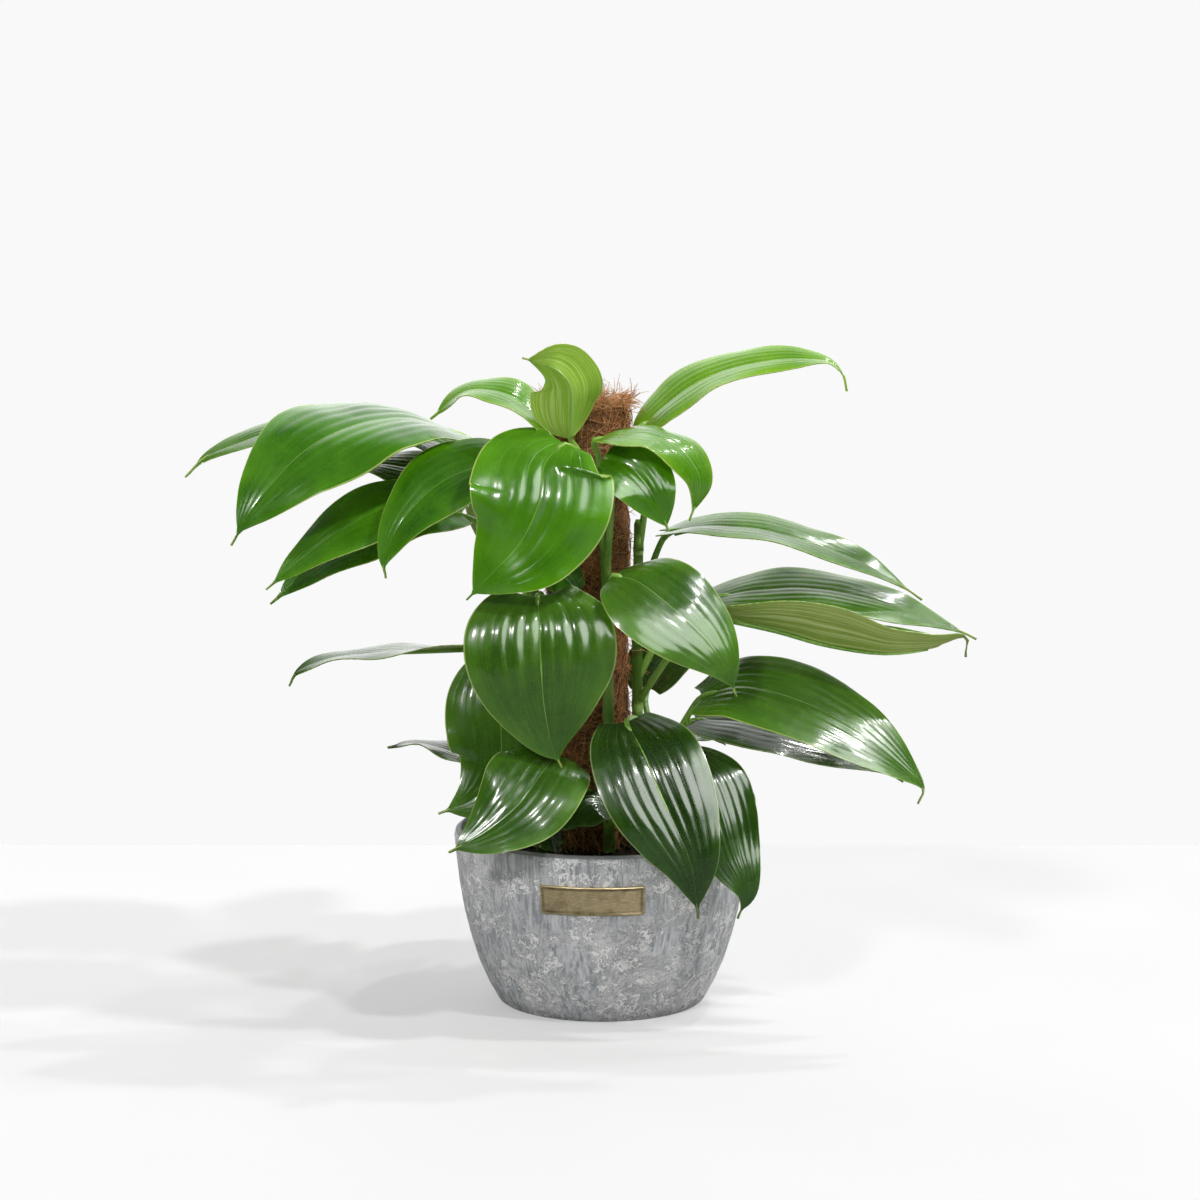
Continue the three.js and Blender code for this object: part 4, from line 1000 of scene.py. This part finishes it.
def on_wrap(turn, z, out):
    """A point a given way out from the wrap's face."""
    r = POLE_RADIUS - 0.4 + coir_lump(turn, z) + out
    return (POLE_AXIS.x + r * math.cos(turn), POLE_AXIS.y + r * math.sin(turn), z)


def wrap_strand(rng):
    """A fibre that lies on the wrap, whichever way, and bows out a little."""
    turn, z = rng.uniform(0, 2 * math.pi), rng.uniform(104, POLE_TOP)
    way = rng.uniform(0, 2 * math.pi)
    length, bend, bow = rng.uniform(12, 44), rng.uniform(-1.6, 1.6), rng.uniform(0.2, 2.4)
    step = length / 8
    points = []
    for i in range(9):
        s = i / 8
        out = bow * math.sin(math.pi * s) + rng.uniform(-0.2, 0.3)
        points.append(on_wrap(turn, min(z, POLE_TOP + 1.5), out))
        turn += math.cos(way + bend * s) * step / POLE_RADIUS
        z += math.sin(way + bend * s) * step
    return points


def grown(place, way, step, count, turned, kept_clear=lambda place: place):
    """Points of a fibre that goes on step by step, its way turned after each."""
    points = []
    for _ in range(count):
        points.append(tuple(place))
        place = kept_clear(place + way * step)
        way = turned(way).normalized()
    return points


def stray_strand(rng):
    """A fibre that stands off the wrap and curls in the air."""
    turn, z = rng.uniform(0, 2 * math.pi), rng.uniform(112, POLE_TOP)
    way = Vector((math.cos(turn), math.sin(turn), rng.uniform(-0.9, 1.0))).normalized()
    curl = Vector((rng.uniform(-1, 1), rng.uniform(-1, 1), rng.uniform(-1, 1))) * rng.uniform(0.1, 0.45)
    step = rng.uniform(5, 19) / 7
    return grown(Vector(on_wrap(turn, z, -0.6)), way, step, 8, lambda way: way + curl * 0.6)


def crown_strand(rng):
    """A frayed fibre at the pole's top."""
    turn, r = rng.uniform(0, 2 * math.pi), POLE_RADIUS * math.sqrt(rng.uniform(0.2, 1.15))
    place = POLE_AXIS + Vector((r * math.cos(turn), r * math.sin(turn), POLE_TOP - rng.uniform(1, 6)))
    lean = rng.uniform(0.1, 1.4)
    across = turn + lean
    way = Vector((math.cos(across) * lean, math.sin(across) * lean, rng.uniform(0.2, 1))).normalized()
    curl = Vector((rng.uniform(-1, 1), rng.uniform(-1, 1), rng.uniform(-1.2, 0.2))) * rng.uniform(0.2, 0.7)
    return grown(place, way, rng.uniform(6, 20) / 8, 9, lambda way: way + curl * 0.5)


def foot_strand(rng):
    """A curly fibre that spills from the wrap's foot over the soil."""
    turn, z = rng.gauss(-math.pi / 2, 1.0), rng.uniform(111, 124)
    way = Vector((math.cos(turn), math.sin(turn), rng.uniform(-0.6, 0.4))).normalized()
    swirl = Matrix.Rotation(rng.uniform(-1.1, 1.1) * 0.35, 3, "Z")
    step = rng.uniform(9, 26) / 11
    droop = Vector((0, 0, -0.28))

    def off_soil(place):
        place.z = max(place.z, soil_height(place.x, place.y) + 0.4)
        return place

    return grown(Vector(on_wrap(turn, z, 0.2)), way, step, 12, lambda way: swirl @ way + droop, off_soil)


# The loose fibres: thickness, finish, and how many strands of each kind
FIBRES = {
    "fibres_dark": (0.24, coir_dark, {wrap_strand: 600, stray_strand: 60}),
    "fibres_orange": (
        0.25, coir_orange, {wrap_strand: 1700, stray_strand: 260, crown_strand: 420, foot_strand: 110},
    ),
    "fibres_tan": (0.21, coir_tan, {wrap_strand: 520, stray_strand: 110, crown_strand: 150, foot_strand: 50}),
}


def make_pole():
    """The wrap, its fibres, and a wood finish for the stake."""
    make_coir_wrap()
    rng = random.Random(FIBRE_SEED)
    for name, (thick, finish, kinds) in FIBRES.items():
        strands = [strand(rng) for strand, count in kinds.items() for _ in range(count)]
        fibres(name, strands, thick, finish)
    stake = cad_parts["pole_core"]
    stake.data.materials.clear()
    stake.data.materials.append(stake_wood)


# Everything is put together


make_pot()
make_plate()
make_soil()
make_crumbs()
make_pole()
for stem_name in STEMS:
    make_stem(stem_name)
for row in LEAVES:
    make_leaf(row)


# Floor, light and camera


FLOOR_HALF, FLOOR_GLOW = 30, 0.33
WALL_HALF, WALL_GLOW, WALL_Y = 20, 0.955, 0.481
DOME_DIM, DOME_BRIGHT, DOME_SHEEN, COVE_GLOW = 0.05, 0.35, 0.3, 1.5
BOX_GLOW, BOX_AIM = 7.5, Vector((0.44, -0.72, 0.54)).normalized()
LENS, SENSOR, CAMERA_DIP = 107.97, 36, 8.46
# Each lamp: azimuth and elevation it shines from, its share of the light on the floor, how wide it is
LAMPS = {
    "right_light": (94, 58, 0.29, 4),
    "key_light": (130, 52, 0.27, 4),
    "side_light": (62, 50, 0.09, 3),
    "back_light": (37, 60, 0.16, 2),
    "front_light": (204, 33, 0.15, 6),
}


def flat_stage(name, size, finish):
    """A flat square that is not part of the plant."""
    bm = bmesh.new()
    bmesh.ops.create_grid(bm, x_segments=1, y_segments=1, size=size)
    mesh = bpy.data.meshes.new(name)
    bm.to_mesh(mesh)
    bm.free()
    mesh.materials.append(finish)
    sheet = bpy.data.objects.new(name, mesh)
    bpy.context.scene.collection.objects.link(sheet)
    return sheet


def build_floor(tree):
    grain = tree.noise(tree.place(), 3.0, 2.0)
    rays = tree.add("LightPath").outputs
    to_eye = rays["Is Camera Ray"]
    bounce = tree.mix(rays["Is Diffuse Ray"], (0.2, 0.2, 0.2), (0.5, 0.5, 0.5))
    pale = tree.mix(tree.spread(grain, 0.3, 0.7), (0.44, 0.44, 0.44), (0.455, 0.455, 0.454))
    return {"Base Color": tree.mix(to_eye, bounce, pale),
            "Emission Color": (1, 1, 1, 1), "Emission Strength": tree.times(to_eye, FLOOR_GLOW)}


floor_paint = material("studio_floor", build_floor, Roughness=0.9, **{"Specular IOR Level": 0.0})
flat_stage("studio_floor", FLOOR_HALF, floor_paint)

wall_paint = bpy.data.materials.new("studio_wall")
wall_paint.use_nodes = True
paint = Tree(wall_paint.node_tree)
cloud = paint.noise(paint.place(), 0.8, 2.0)
glow = paint.add("Emission", {"Color": paint.mix(cloud, (1, 1, 1), (0.985, 0.985, 0.985)),
                                        "Strength": WALL_GLOW})
clear = paint.add("BsdfTransparent")
behind = paint.add("NewGeometry").outputs["Backfacing"]
shown = paint.add("MixShader", {0: behind, 1: glow.outputs[0], 2: clear.outputs[0]})
paint.add("OutputMaterial", {0: shown.outputs[0]})
wall = flat_stage("studio_wall", WALL_HALF, wall_paint)
wall.location = (0, WALL_Y, WALL_HALF)
wall.rotation_euler = (math.radians(90), 0, 0)
wall.visible_diffuse = wall.visible_glossy = wall.visible_shadow = wall.visible_transmission = False


def sun(name, azimuth, elevation, share, spread):
    """A far lamp that shines from an azimuth (0 behind the pot, 90 at its right) and elevation."""
    lamp = bpy.data.lights.new(name, "SUN")
    lamp.energy = share * math.pi / math.sin(math.radians(elevation))
    lamp.angle = math.radians(spread)
    holder = bpy.data.objects.new(name, lamp)
    around, up = math.radians(azimuth), math.radians(elevation)
    back = Vector((math.sin(around) * math.cos(up), math.cos(around) * math.cos(up), math.sin(up)))
    holder.rotation_euler = back.to_track_quat("Z", "Y").to_euler()
    bpy.context.scene.collection.objects.link(holder)


for name, settings in LAMPS.items():
    sun(name, *settings)

world = bpy.data.worlds.new("studio")
world.use_nodes = True
sky = Tree(world.node_tree)
way_out = sky.add("TexCoord").outputs["Generated"]
direction = sky.add("SeparateXYZ", {0: way_out})
overhead = sky.spread(direction.outputs[2], 0.0, 0.9, DOME_DIM, DOME_BRIGHT)
cove = sky.spread(direction.outputs[1], 0.25, 0.95, 0.0, COVE_GLOW)
dome = sky.plus(overhead, cove)
rays = sky.add("LightPath").outputs
# In reflections only the cove and one broad lamp box in front are bright
box_aim = sky.add("VectorMath", {0: way_out, 1: BOX_AIM}, operation="DOT_PRODUCT")
box = sky.spread(box_aim.outputs["Value"], 0.925, 0.95, 0.0, BOX_GLOW)
sheen = sky.plus(sky.plus(sky.times(overhead, DOME_SHEEN), cove), box)
around = sky.add("Mix", {0: rays["Is Glossy Ray"], 2: dome, 3: sheen}, data_type="FLOAT")
strength = sky.add("Mix", {0: rays["Is Camera Ray"], 2: around.outputs[0], 3: WALL_GLOW},
                   data_type="FLOAT").outputs[0]
background = sky.add("Background", {"Color": (1, 1, 1, 1), "Strength": strength})
sky.add("OutputWorld", {0: background.outputs[0]})
bpy.context.scene.world = world
bpy.context.scene.view_settings.view_transform = "Standard"

lens = bpy.data.cameras.new("camera")
lens.sensor_width, lens.lens = SENSOR, LENS
lens.clip_start, lens.clip_end = 0.05, 100
camera = bpy.data.objects.new("camera", lens)
camera.location = Vector(EYE) * MM
camera.rotation_euler = (math.radians(90 - CAMERA_DIP), 0, 0)
bpy.context.scene.collection.objects.link(camera)
bpy.context.scene.camera = camera
